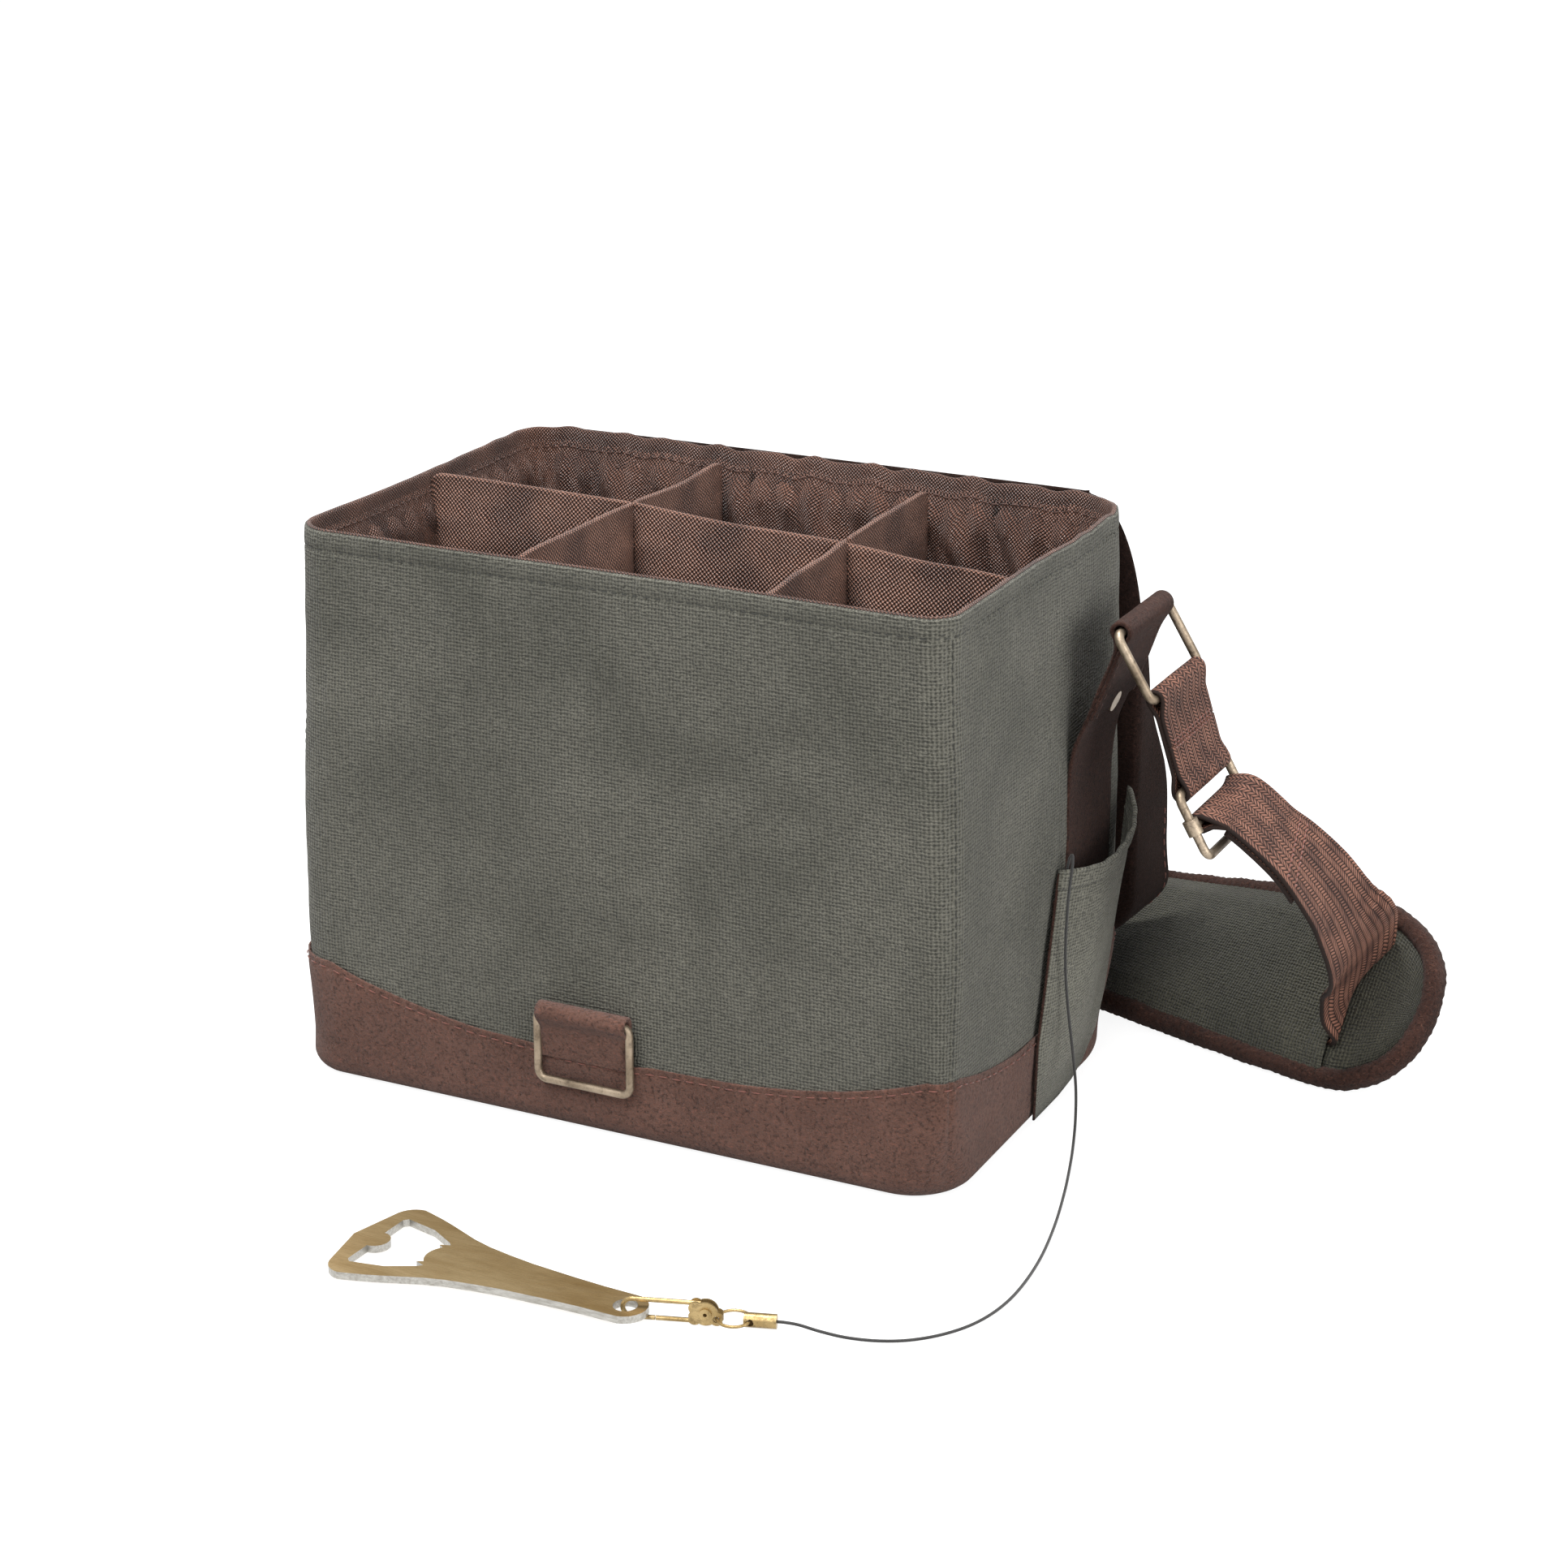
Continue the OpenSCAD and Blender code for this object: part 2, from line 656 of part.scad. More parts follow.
module pad_binding() {
    n = len(binding_path);
    k = 8;
    rings = [for (i = [0 : n - 1])
        let (t = loop_tangent(binding_path, i), up = unit(pad_normal(binding_station(i))),
            out = unit(cross(t, up)), top = cross(out, t))
        [for (s = [0 : k - 1]) let (a = 360 * s / k)
            binding_path[i] + out * (binding_d / 2 * cos(a)) + top * (binding_t * sin(a))]];
    points = [for (r = rings) for (p = r) p];
    color(suede_colour) polyhedron(points, concat(
        [for (i = [0 : n - 1]) for (s = [0 : k - 1])
            [i * k + s, ((i + 1) % n) * k + (s + 1) % k, ((i + 1) % n) * k + s]],
        [for (i = [0 : n - 1]) for (s = [0 : k - 1])
            [i * k + s, i * k + (s + 1) % k, ((i + 1) % n) * k + (s + 1) % k]]), convexity = 8);
}
function binding_station(i) = let (n = len(pad_line)) i < n ? i : 2 * n - 1 - i;

// Shoulder webbing: from the slider over in an arch, down into the pad and out along the floor
web_rise = (side_wire_d / 2 + bar_gap + conn_web_t / 2) * sin(45);
arch_shares = [[0.775, 0.227, 0.508], [0.812, 0.258, 0.451], [0.841, 0.299, 0.387],
    [0.863, 0.351, 0.306], [0.870, 0.408, 0.235], [0.863, 0.443, 0.187]];
arch_widths = [[-0.185, 0.964, 0.186], [-0.094, 0.963, 0.252], [0.051, 0.979, 0.197],
    [0.171, 0.95, 0.263], [0.27, 0.84, 0.47], [0.25, 0.66, 0.71]];
drop_shares = [[0.035, 0.855, 0.082], [-0.005, 0.865, 0.045], [-0.05, 0.874, 0.016]];
drop_widths = [[0, 0.99, 0.15], [0, 1, 0.08], [0, 1, 0.02]];
tail_shares = [[-0.1, 0.88], [-0.18, 0.884], [-0.30, 0.872], [-0.41, 0.83], [-0.51, 0.745]];
tail_widths = [[0, 1, 0], [0, 1, 0], [-0.2, 0.98, 0], [-0.42, 0.91, 0], [-0.6, 0.8, 0]];

web_start = [[mid_bar_x + web_rise, side_back, mid_bar_z + web_rise],
    [mid_bar_x + 2.6 * side_wire_d, side_back + web_t, mid_bar_z + web_rise]];
run_from = cover_to + 1;
function web_over(i) = (binding_t + soft_gap - web_level) * min(1, max(0, (cover_from - i) / pad_steps));
web_run = [for (i = [run_from : -1 : 0]) pad_line[i] + pad_normal(i) * (web_level + web_over(i) + web_t / 2)];
web_tail = [for (s = tail_shares) [s[0] * shell_w, s[1] * shell_d, soft_gap + web_t / 2]];
web_line = concat(web_start, [for (s = arch_shares) scaled(s)], web_run,
    [for (s = drop_shares) scaled(s)], web_tail);
web_widths = concat([[0, 1, 0], [-0.1, 0.99, 0.1]], arch_widths,
    [for (i = [run_from : -1 : 0]) pad_width(i)], drop_widths, tail_widths);

module shoulder_webbing() {
    color(nylon_colour) bar_loop(mid_bar_x, mid_bar_z);
    color(nylon_colour) sweep_sections([for (i = [0 : len(web_line) - 1])
        band_corners(web_line, unit(web_widths[i]), web_w / 2, -web_t / 2, web_t / 2, i)]);
}

// Left webbing: hangs from the left ring to the floor, where it meets the tail
left_shares = [[-0.637, 0.215, 0.66], [-0.655, 0.238, 0.52], [-0.673, 0.275, 0.36],
    [-0.676, 0.342, 0.21], [-0.663, 0.433, 0.10], [-0.630, 0.535, 0.034], [-0.588, 0.615, 0.007],
    [-0.555, 0.670, 0.006]];
left_widths = [[0, 1, 0], [-0.1, 0.98, 0.12], [-0.22, 0.93, 0.28], [-0.45, 0.78, 0.42],
    [-0.68, 0.6, 0.4], [-0.8, 0.55, 0.2], [-0.76, 0.65, 0.03], [-0.7, 0.71, 0]];
web_loop_r = side_wire_d / 2 + bar_gap + conn_web_t;

module left_webbing() {
    start = [-low_bar_x, side_back, low_bar_z - web_loop_r + conn_web_t / 2];
    line = concat([start], [for (s = left_shares) scaled(s)]);
    widths = concat([[0, 1, 0]], left_widths);
    color(nylon_colour) {
        sweep_sections([for (i = [0 : len(line) - 1])
            band_corners(line, unit(widths[i]), web_w / 2, -web_t / 2, web_t / 2, i)]);
        other_side() bar_loop(low_bar_x, low_bar_z);
    }
}

// Side pocket: a thin curved sheet, sewn down at its sides and bottom and gaping at its mouth
pocket_z = 5;
pocket_shift = 1;
mouth_sag = 6;
pocket_from = side_back - pocket_w / 2 + pocket_shift;
pocket_cols = 10;
pocket_rows = 8;

function pocket_point(u, v, off) =
    let (bow = pocket_gape * pow(v, 1.6) * pow(sin(180 * u), 0.75),
        top = pocket_front_h + (pocket_back_h - pocket_front_h) * u - mouth_sag * sin(180 * u),
        z = pocket_z + (top - pocket_z) * v)
    [pocket_face + bow + off, pocket_from + pocket_w * u, z];
pocket_face = half_w + band_out + soft_gap;

module side_pocket() {
    cols = pocket_cols;
    sections = [for (i = [0 : cols]) let (u = i / cols) concat(
        [for (j = [0 : pocket_rows]) pocket_point(u, j / pocket_rows, canvas_t)],
        [for (j = [pocket_rows : -1 : 0]) pocket_point(u, j / pocket_rows, 0)])];
    color(canvas_colour) sheet_body(sections);
}

// A closed sheet: each section runs along its outer face and back along its inner face
module sheet_body(sections) {
    k = len(sections[0]);
    half = k / 2;
    n = len(sections);
    points = [for (s = sections) for (p = s) p];
    ring_faces = [for (i = [0 : n - 2]) for (j = [0 : k - 1])
        [[i * k + j, (i + 1) * k + (j + 1) % k, (i + 1) * k + j],
            [i * k + j, i * k + (j + 1) % k, (i + 1) * k + (j + 1) % k]]];
    cap = [for (j = [0 : half - 2])
        [[j, k - 1 - j, k - 2 - j], [j, k - 2 - j, j + 1]]];
    last = (n - 1) * k;
    faces = concat([for (q = ring_faces) for (f = q) f], [for (q = cap) for (f = q) f],
        [for (q = cap) for (f = q) [last + f[0], last + f[2], last + f[1]]]);
    polyhedron(points, faces, convexity = 8);
}

// Cord anchor: a small barrel on a patch, sewn to the wall inside the pocket
anchor_side = 11;
anchor_drop = 23;
anchor_r = 1.8;
anchor_h = 8;
patch_w = 10;
anchor = [half_w + soft_gap, pocket_from + anchor_side, pocket_front_h - anchor_drop];

module cord_anchor() {
    color(suede_colour) translate(anchor) {
        translate([0, -patch_w / 2, 0]) cube([suede_t, patch_w, patch_w]);
        translate([suede_t + anchor_r - run_gap, 0, (patch_w - anchor_h) / 2]) cylinder(h = anchor_h, r = anchor_r);
    }
}

// Tether cord: its route, from the crimp along the floor and up into the pocket
cord_route = [[131.1, -207.7, 3], [134, -206.9, 3], [139, -205.7, 2.6], [147, -204.8, 1.5],
    [157, -203.5, 0.8], [168, -200.5, 0.7], [178, -195, 0.7], [187, -186, 0.7], [194, -174, 0.7],
    [198, -159, 0.7], [199, -141, 0.7], [197, -117, 0.7], [192, -90, 0.7], [185, -62, 0.7],
    [178, -38, 0.8], [173, -22, 2.5], [169, -10, 8], [166, -3, 18], [163, 0, 32], [160.5, 0.5, 48],
    [159, 0, 64], [158.5, 0, 80], [158.5, 1, 94], [158.5, 3, 104], [158.3, 5.5, 110.5],
    [157, 8.5, 113.4], [155.3, 10.2, 111.5], [154, 10.8, 106], [153.4, 10.8, 99], [153.2, 10.2, 95],
    [153.22, 10, 93]];

module tube(path, r, sides) {
    rings = [for (i = [0 : len(path) - 1])
        let (t = band_tangent(path, i), a = unit(cross(t, abs(t[2]) > 0.8 ? [0, 1, 0] : [0, 0, 1])), b = cross(a, t))
        [for (s = [0 : sides - 1]) path[i] + a * (r * cos(360 * s / sides)) + b * (r * sin(360 * s / sides))]];
    sweep_sections(rings);
}

module tether_cord() {
    color("#3c3a38") tube(spline(cord_route, 2), cord_d / 2, 8);
}

// Opener chain: the hook's frame starts at the hole in the opener's tail
hole_place = [78, -225, 0];
hook_turn = 18;
opener_turn = -3.4;
wire_r = hook_wire_d / 2;
low_wire_z = soft_gap + wire_r;
opener_low = low_wire_z + wire_r + soft_gap;
opener_tilt = asin((opener_low - soft_gap) / (opener_l - opener_tail_w));
tail_r = opener_tail_w / 2;
hook_bend = 3.6;
hook_top_z = low_wire_z + 2 * hook_bend;
hook_left = 2.6;
plate_x = 23.5;
plate_l = 12.5;
plate_t = 0.8;
plate_gap = wire_r + run_gap;
gate_end = 11.2;
crimp_r = 2.75;
crimp_l = 12;
crimp_z = crimp_r + soft_gap;
plate_inset = 2.2;
gate_pin = [plate_x + plate_inset, low_wire_z];

module hook_frame() { translate(hole_place) rotate([0, 0, hook_turn]) children(); }

module wire_x(x0, x1, z) {
    translate([x0, 0, z]) rotate([0, 90, 0]) cylinder(h = x1 - x0, r = wire_r, $fn = 24);
}

module hook_wire() {
    color(brass_colour) hook_frame() {
        wire_x(hook_left, plate_x + 2 * plate_inset, hook_top_z);
        wire_x(hook_left, gate_end - soft_gap, low_wire_z);
        translate([hook_left, 0, low_wire_z + hook_bend]) rotate([90, 0, 0]) rotate([0, 0, 90])
            rotate_extrude(angle = 180, $fn = 40) translate([hook_bend, 0]) circle(wire_r, $fn = 24);
    }
}

module hook_gate() {
    color(brass_colour) hook_frame() {
        wire_x(gate_end, gate_pin[0], low_wire_z);
        translate([gate_pin[0], 0, gate_pin[1]]) rotate([90, 0, 0])
            cylinder(h = 2 * wire_r, r = wire_r + run_gap, center = true, $fn = 24);
    }
}

plate_low = soft_gap;
plate_high = hook_top_z + wire_r + soft_gap;
rivet_place = [plate_x + plate_l / 2, (plate_low + plate_high) / 2];
eye_place = [plate_x + plate_l - plate_inset, crimp_z];
eye_r = 1.3;
hook_rivet_r = 1.5;

// The plates' outline: a round middle with a lobe at the gate, at the wire's end and at the eye
lobe_r = 2.6;
module plate_lobes() {
    translate(rivet_place) circle((plate_high - plate_low) / 2);
    translate([plate_x + plate_inset, plate_low + lobe_r]) circle(lobe_r);
    translate([plate_x + lobe_r, plate_high - lobe_r]) circle(lobe_r);
    translate(eye_place + [0, layer_gap]) circle(lobe_r + layer_gap);
}

module hook_plates() {
    color(brass_colour) hook_frame() for (side = [-1, 1])
        translate([0, side > 0 ? plate_gap + plate_t : -plate_gap, 0]) rotate([90, 0, 0])
            linear_extrude(plate_t) difference() {
                intersection() {
                    translate([plate_x, plate_low]) square([plate_l, plate_high - plate_low]);
                    plate_lobes();
                }
                translate(rivet_place) circle(hook_rivet_r + run_gap);
                translate(eye_place) circle(eye_r);
            }
}

module hook_rivet() {
    over = plate_gap + plate_t;
    color(brass_colour) hook_frame() translate([rivet_place[0], 0, rivet_place[1]]) rotate([90, 0, 0])
        difference() {
            union() {
                cylinder(h = 2 * over, r = hook_rivet_r, center = true);
                for (side = [-1, 1]) translate([0, 0, side * (over + plate_t / 2)])
                    cylinder(h = plate_t, r = hook_rivet_r + plate_t, center = true);
            }
            cylinder(h = 4 * over, r = hook_rivet_r / 2, center = true);
        }
}

// Split ring, passing through the plates' eyes and the crimp's cross hole
split_r = 6.2;
split_wire = 0.6;
split_x = eye_place[0] + split_r;

module split_ring() {
    color(brass_colour) hook_frame() translate([split_x, 0, crimp_z])
        rotate_extrude() translate([split_r, 0]) circle(split_wire, $fn = 20);
}

crimp_eye_r = 1.4;
crimp_eye_x = 2.4;
crimp_x = split_x + split_r - crimp_eye_x;

module cord_crimp() {
    color(brass_colour) hook_frame() translate([crimp_x, 0, crimp_z]) difference() {
        rotate([0, 90, 0]) cylinder(h = crimp_l, r = crimp_r);
        translate([crimp_eye_x, 0, 0]) rotate([90, 0, 0])
            cylinder(h = 3 * crimp_r, r = crimp_eye_r, center = true);
    }
}

// Bottle opener: a flat plate with hollow sides that widen to the head, with a toothed window
head_x = opener_l - tail_r;
head_half = opener_head_w / 2;
head_round = 0.158 * opener_head_w;
head_arc = 0.079 * opener_head_w;
head_centre = [-head_x + head_arc + head_round, head_half - head_round];

// The hollow sides: shares of the length from the tail, and of the head's width
side_shares = [[0.12, 0.155], [0.23, 0.168], [0.39, 0.196], [0.48, 0.224], [0.57, 0.26], [0.64, 0.304],
    [0.70, 0.356], [0.76, 0.408], [0.81, 0.447], [0.86, 0.48]];

module opener_outline() {
    tail = [for (a = [-80 : 16 : 80]) [tail_r * cos(a), tail_r * sin(a)]];
    side = [for (s = side_shares) [-s[0] * head_x, s[1] * opener_head_w]];
    top = [for (a = [92 : 12 : 164]) head_centre + head_round * [cos(a), sin(a)]];
    low = [for (i = [len(top) - 1 : -1 : 0]) [top[i][0], -top[i][1]]];
    back = [for (i = [len(side) - 1 : -1 : 0]) [side[i][0], -side[i][1]]];
    polygon(concat(tail, side, top, [[-head_x, 0]], low, back));
}

// Its window, in shares of the head's width
window_head = -head_x + 0.18 * opener_head_w;
window_l = 0.5 * opener_head_w;
window_wide = 0.34 * opener_head_w;
window_middle = 0.29 * opener_head_w;
window_narrow = 0.185 * opener_head_w;
window_break = 0.55;
window_nip = 0.03 * opener_head_w;
tongue_r = 0.165 * opener_head_w;
tongue_back = 0.09 * opener_head_w;
tooth_l = 0.075 * opener_head_w;
lip_r = 0.1 * opener_head_w;
window_tail = window_head + window_l;

module opener_window() {
    half = [[window_head, window_wide - window_nip], [window_head + window_nip, window_wide],
        [window_head + window_break * window_l, window_middle], [window_tail - window_nip, window_narrow],
        [window_tail, window_narrow - window_nip]];
    difference() {
        polygon(concat(half, [for (i = [len(half) - 1 : -1 : 0]) [half[i][0], -half[i][1]]]));
        translate([window_head, 0]) circle(lip_r);
        translate([window_tail + tongue_back, 0]) circle(tongue_r);
        for (side = [-1, 1]) polygon([[window_tail + overrun, side * 0.5 * tongue_r],
            [window_tail - tooth_l, side * 0.8 * tongue_r], [window_tail + overrun, side * tongue_r]]);
    }
}

module bottle_opener() {
    color(opener_colour) translate(hole_place + [0, 0, opener_low]) rotate([0, 0, opener_turn])
        rotate([0, -opener_tilt, 0]) linear_extrude(opener_t) difference() {
            opener_outline();
            circle(opener_hole_d / 2);
            opener_window();
        }
}

canvas_front();
canvas_back();
canvas_left();
canvas_right();
base_band_front();
base_band_back();
base_band_left();
base_band_right();
bottom_panel();
base_board();
foam_front();
foam_back();
foam_left();
foam_right();
foam_floor();
lining_walls();
lining_floor();
divider_long();
divider_cross_left();
divider_cross_right();
lid_skin();
lid_padding();
closure_strap();
front_tab();
front_ring();
side_strap_right();
side_strap_left();
strap_rivet_right();
strap_rivet_left();
side_ring_right();
side_ring_left();
connector_webbing();
slider();
shoulder_webbing();
pad_base();
pad_cover();
pad_binding();
left_webbing();
side_pocket();
cord_anchor();
tether_cord();
cord_crimp();
split_ring();
hook_wire();
hook_gate();
hook_plates();
hook_rivet();
bottle_opener();
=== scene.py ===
import math

import bmesh
import bpy
import numpy as np
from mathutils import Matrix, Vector


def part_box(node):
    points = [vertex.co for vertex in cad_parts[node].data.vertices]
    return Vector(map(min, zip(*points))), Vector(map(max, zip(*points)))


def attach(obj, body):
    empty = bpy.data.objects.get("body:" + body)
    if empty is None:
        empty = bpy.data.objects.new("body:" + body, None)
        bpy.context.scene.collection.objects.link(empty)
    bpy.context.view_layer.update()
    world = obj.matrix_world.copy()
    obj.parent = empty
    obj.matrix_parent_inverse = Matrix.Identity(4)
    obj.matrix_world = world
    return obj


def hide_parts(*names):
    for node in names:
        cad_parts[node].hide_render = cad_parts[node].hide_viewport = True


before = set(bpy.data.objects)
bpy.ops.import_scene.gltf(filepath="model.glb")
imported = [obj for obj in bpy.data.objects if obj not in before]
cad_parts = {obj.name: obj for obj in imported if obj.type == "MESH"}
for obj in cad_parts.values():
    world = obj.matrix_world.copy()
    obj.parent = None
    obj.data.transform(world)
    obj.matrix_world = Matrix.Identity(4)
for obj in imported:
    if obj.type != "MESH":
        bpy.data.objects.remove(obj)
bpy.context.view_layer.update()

# Lengths below are in millimetres, and every mesh is scaled to metres as it is made
MM = 0.001
SIDES = ("front", "back", "left", "right")

# Camera at the photograph's viewing angle, in metres
CAMERA_PLACE = (0.6049, -1.1649, 0.5983)
CAMERA_TARGET = (0.0317, 0.0, 0.1268)
CAMERA_LENS, CAMERA_SENSOR = 76.44, 36


def place_object(name, data, place=None, target=None):
    """An object in the scene, at a place and turned to a target where they are given."""
    made = bpy.data.objects.new(name, data)
    bpy.context.scene.collection.objects.link(made)
    if target:
        made.location = place
        made.rotation_mode = "QUATERNION"
        made.rotation_quaternion = (Vector(target) - Vector(place)).to_track_quat("-Z", "Y")
    return made


def make_camera():
    data = bpy.data.cameras.new("camera")
    data.lens, data.sensor_width = CAMERA_LENS, CAMERA_SENSOR
    bpy.context.scene.camera = place_object("camera", data, CAMERA_PLACE, CAMERA_TARGET)
    bpy.context.scene.view_settings.view_transform = "Standard"


# Shader helpers
def linear(r, g, b):
    """A linear colour from sRGB values of 0 to 255."""
    def one(c):
        c = c / 255
        return c / 12.92 if c <= 0.04045 else ((c + 0.055) / 1.055) ** 2.4
    return (one(r), one(g), one(b), 1)


def add_node(tree, kind, inputs=(), **settings):
    """A shader node whose inputs are values or other nodes' sockets."""
    made = tree.nodes.new("ShaderNode" + kind)
    for name, value in settings.items():
        setattr(made, name, value)
    for key, value in dict(inputs).items():
        if isinstance(value, bpy.types.NodeSocket):
            tree.links.new(value, made.inputs[key])
        else:
            made.inputs[key].default_value = value
    return made


class Shader:
    """A node material with a Principled surface, and short ways to add nodes to it."""

    def __init__(self, name, **surface):
        self.material = bpy.data.materials.new(name)
        self.material.use_nodes = True
        self.tree = self.material.node_tree
        self.surface = self.tree.nodes["Principled BSDF"]
        for socket, value in surface.items():
            self.surface.inputs[socket.replace("_", " ")].default_value = value

    def node(self, kind, inputs=(), output=0, **settings):
        return add_node(self.tree, kind, inputs, **settings).outputs[output]

    def math(self, operation, a, b=0.0):
        return self.node("Math", {0: a, 1: b}, operation=operation)

    def plus(self, a, b):
        return self.math("ADD", a, b)

    def times(self, a, b):
        return self.math("MULTIPLY", a, b)

    def between(self, value, low, high, out_low=0.0, out_high=1.0):
        inputs = {"Value": value, "From Min": low, "From Max": high, "To Min": out_low, "To Max": out_high}
        return self.node("MapRange", inputs)

    def mix(self, share, a, b):
        """Two colours mixed, each a socket or sRGB values."""
        a, b = [c if isinstance(c, bpy.types.NodeSocket) else linear(*c) for c in (a, b)]
        return self.node("Mix", {0: share, 6: a, 7: b}, 2, data_type="RGBA")

    def tint(self, colour, *steps):
        """The colour after steps of (value, low, high, most, other), each of which turns it to another
        colour by a share of 0 to most as the value goes from low to high."""
        for value, low, high, most, other in steps:
            colour = self.mix(self.between(value, low, high, 0.0, most), colour, other)
        return colour

    def noise(self, place, scale, detail=3.0, rough=0.55, warp=0.0):
        inputs = {"Vector": place, "Scale": scale, "Detail": detail, "Roughness": rough, "Distortion": warp}
        return self.node("TexNoise", inputs)

    def stretched(self, place, scale):
        return self.node("Mapping", {"Vector": place, "Scale": scale})

    def object_place(self, scale=(1, 1, 1)):
        return self.stretched(self.node("TexCoord", output="Object"), scale)

    def cloth_place(self):
        """The cloth's own coordinates in millimetres, together and as along and across."""
        place = self.node("UVMap", uv_map="cloth")
        return place, self.node("SeparateXYZ", {0: place}), self.node("SeparateXYZ", {0: place}, 1)

    def wave(self, value, pitch):
        return self.math("SINE", self.times(value, 2 * math.pi / pitch))

    def weave(self, scale, detail, pitch):
        """The cloth's coordinates, and waves of warp and weft threads that wander."""
        place, along, across = self.cloth_place()
        wander = self.times(self.noise(place, scale, detail), 1.6)
        return place, self.wave(self.plus(along, wander), pitch), self.wave(self.plus(across, wander), pitch)

    def finish(self, colour, rough, *bumps):
        """Links the colour, the roughness and bumps of (height, distance, strength) over one another."""
        normal = None
        for height, distance, strength in bumps:
            inputs = {"Height": height, "Distance": distance, "Strength": strength}
            normal = self.node("Bump", {**inputs, "Normal": normal} if normal else inputs)
        for name, value in (("Base Color", colour), ("Roughness", rough), ("Normal", normal)):
            if value:
                self.tree.links.new(value, self.surface.inputs[name])
        return self.material


WAX_MARK = (138, 136, 124)


def canvas_material(name, main, light, dark, pitch=1.5, marks=0.5):
    """Waxed canvas: a plain weave, worn cloudy patches and pale wax marks."""
    s = Shader(name, Specular_IOR_Level=0.25, Sheen_Weight=0.12, Sheen_Roughness=0.5)
    place, warp, weft = s.weave(0.35, 3.0, pitch)
    # Uneven yarn makes short pale and dark dashes along both ways of the weave
    dashes = s.noise(s.stretched(place, (0.25, 1.0, 1.0)), 1.2, 2.0, 0.6)
    weave = s.plus(s.times(s.plus(warp, weft), 0.5), s.between(dashes, 0.25, 0.75, -0.7, 0.7))
    slub = s.noise(place, 0.9, 3.0, 0.7)
    body = s.object_place()
    cloud, scuff = s.noise(body, 14.0, 5.0, 0.62, 0.6), s.noise(body, 46.0, 6.0, 0.7, 1.4)
    colour = s.tint(main, (cloud, 0.36, 0.64, 1.0, light), (weave, 0.15, -0.75, 0.85, dark),
                    (weave, 0.3, 0.95, 0.55, light), (slub, 0.5, 0.75, 0.45, light),
                    (slub, 0.46, 0.28, 0.5, dark))
    patch = s.times(s.between(scuff, 0.57, 0.78), s.between(cloud, 0.42, 0.66))
    colour = s.mix(s.times(patch, marks), colour, WAX_MARK)
    return s.finish(colour, s.between(cloud, 0.3, 0.7, 0.78, 0.62),
                    (weave, 0.0006, 0.9), (slub, 0.0003, 0.5), (scuff, 0.0016, 0.35))


def suede_material(name, main, light, dark, fleck, sheen):
    """Brushed suede: a mottled nap with short reddish fibres."""
    s = Shader(name, Roughness=0.95, Specular_IOR_Level=0.1, Sheen_Weight=sheen, Sheen_Roughness=0.45)
    place = s.object_place()
    nap = s.noise(place, 700.0, 4.0, 0.75)
    fibre = s.noise(s.object_place((1.0, 2.2, 1.6)), 420.0, 3.0, 0.75, 1.5)
    colour = s.tint(main, (s.noise(place, 30.0, 4.0, 0.6, 0.5), 0.34, 0.66, 1.0, light),
                    (nap, 0.52, 0.34, 0.85, dark), (fibre, 0.53, 0.68, 0.8, fleck))
    return s.finish(colour, None, (nap, 0.0011, 0.9), (fibre, 0.0009, 0.8))


def nylon_material(name, main, light, dark, pitch, shine):
    """Oxford nylon: bead-like threads with painted highlights on their crowns, painted shade in the dark gaps
    between, lighter random clouds and a soft gloss.
    """
    s = Shader(name, Specular_IOR_Level=0.5, Sheen_Weight=0.04, Sheen_Roughness=0.35)
    place, warp, weft = s.weave(0.12, 2.0, pitch)
    beads = s.times(warp, weft)
    # Pale thread crowns are painted highlights and the dark gaps are painted shade
    colour = s.tint(main, (s.noise(place, 0.03), 0.35, 0.65, 0.5, light), (beads, 0.25, -0.6, 0.92, dark),
                    (beads, 0.4, 0.95, 0.7, light))
    return s.finish(colour, s.between(beads, -1.0, 1.0, 0.62, 1.0 - shine), (beads, 0.0007, 0.9))


def webbing_material(name, main, light, dark, row=3.6, strand=1.5):
    """Heavy webbing: rows along its length whose slanting strands turn the other way in the next row."""
    s = Shader(name, Specular_IOR_Level=0.28)
    place, along, across = s.cloth_place()
    rows = s.math("DIVIDE", across, row)
    inside = s.math("FRACT", rows)
    turn = s.math("SUBTRACT", 1.0, s.times(s.math("FLOORED_MODULO", s.math("FLOOR", rows), 2.0), 2.0))
    slant = s.times(s.times(s.math("SUBTRACT", inside, 0.5), turn), 1.25)
    thread = s.math("ABSOLUTE", s.wave(s.plus(s.math("DIVIDE", along, strand), slant), 2.0))
    valley = s.math("SINE", s.times(inside, math.pi))
    relief = s.times(s.math("POWER", thread, 0.7), s.math("POWER", valley, 0.35))
    fibre = s.noise(s.stretched(place, (6.0, 1.2, 1.0)), 1.0, 3.0, 0.7)
    # Low places of the relief are darkened as painted shade and its crowns lightened as painted highlight;
    # the fibre streaks are the yarn's own
    colour = s.tint(main, (s.noise(place, 0.09), 0.35, 0.65, 1.0, light), (relief, 0.72, 0.25, 0.95, dark),
                    (relief, 0.8, 1.0, 0.6, light), (fibre, 0.5, 0.75, 0.3, dark))
    return s.finish(colour, s.between(relief, 0.2, 1.0, 0.85, 0.5),
                    (relief, 0.0011, 0.95), (fibre, 0.0002, 0.5))


def grainy_material(name, colour, shade, scale, detail, rough, ends, height, **surface):
    """One colour and a darker share of it in fine grain: thread, foam or board."""
    s = Shader(name, **surface)
    grain = s.noise(s.object_place(), scale, detail, rough)
    colour = s.tint(colour, (grain, *ends, 1.0, [c * shade for c in colour]))
    return s.finish(colour, None, (grain, height, 0.5))


def thread_material(name, colour):
    return grainy_material(name, colour, 0.72, 2500.0, 2.0, 0.55, (0.35, 0.7), 0.0002,
                           Roughness=0.7, Specular_IOR_Level=0.3, Sheen_Weight=0.3)


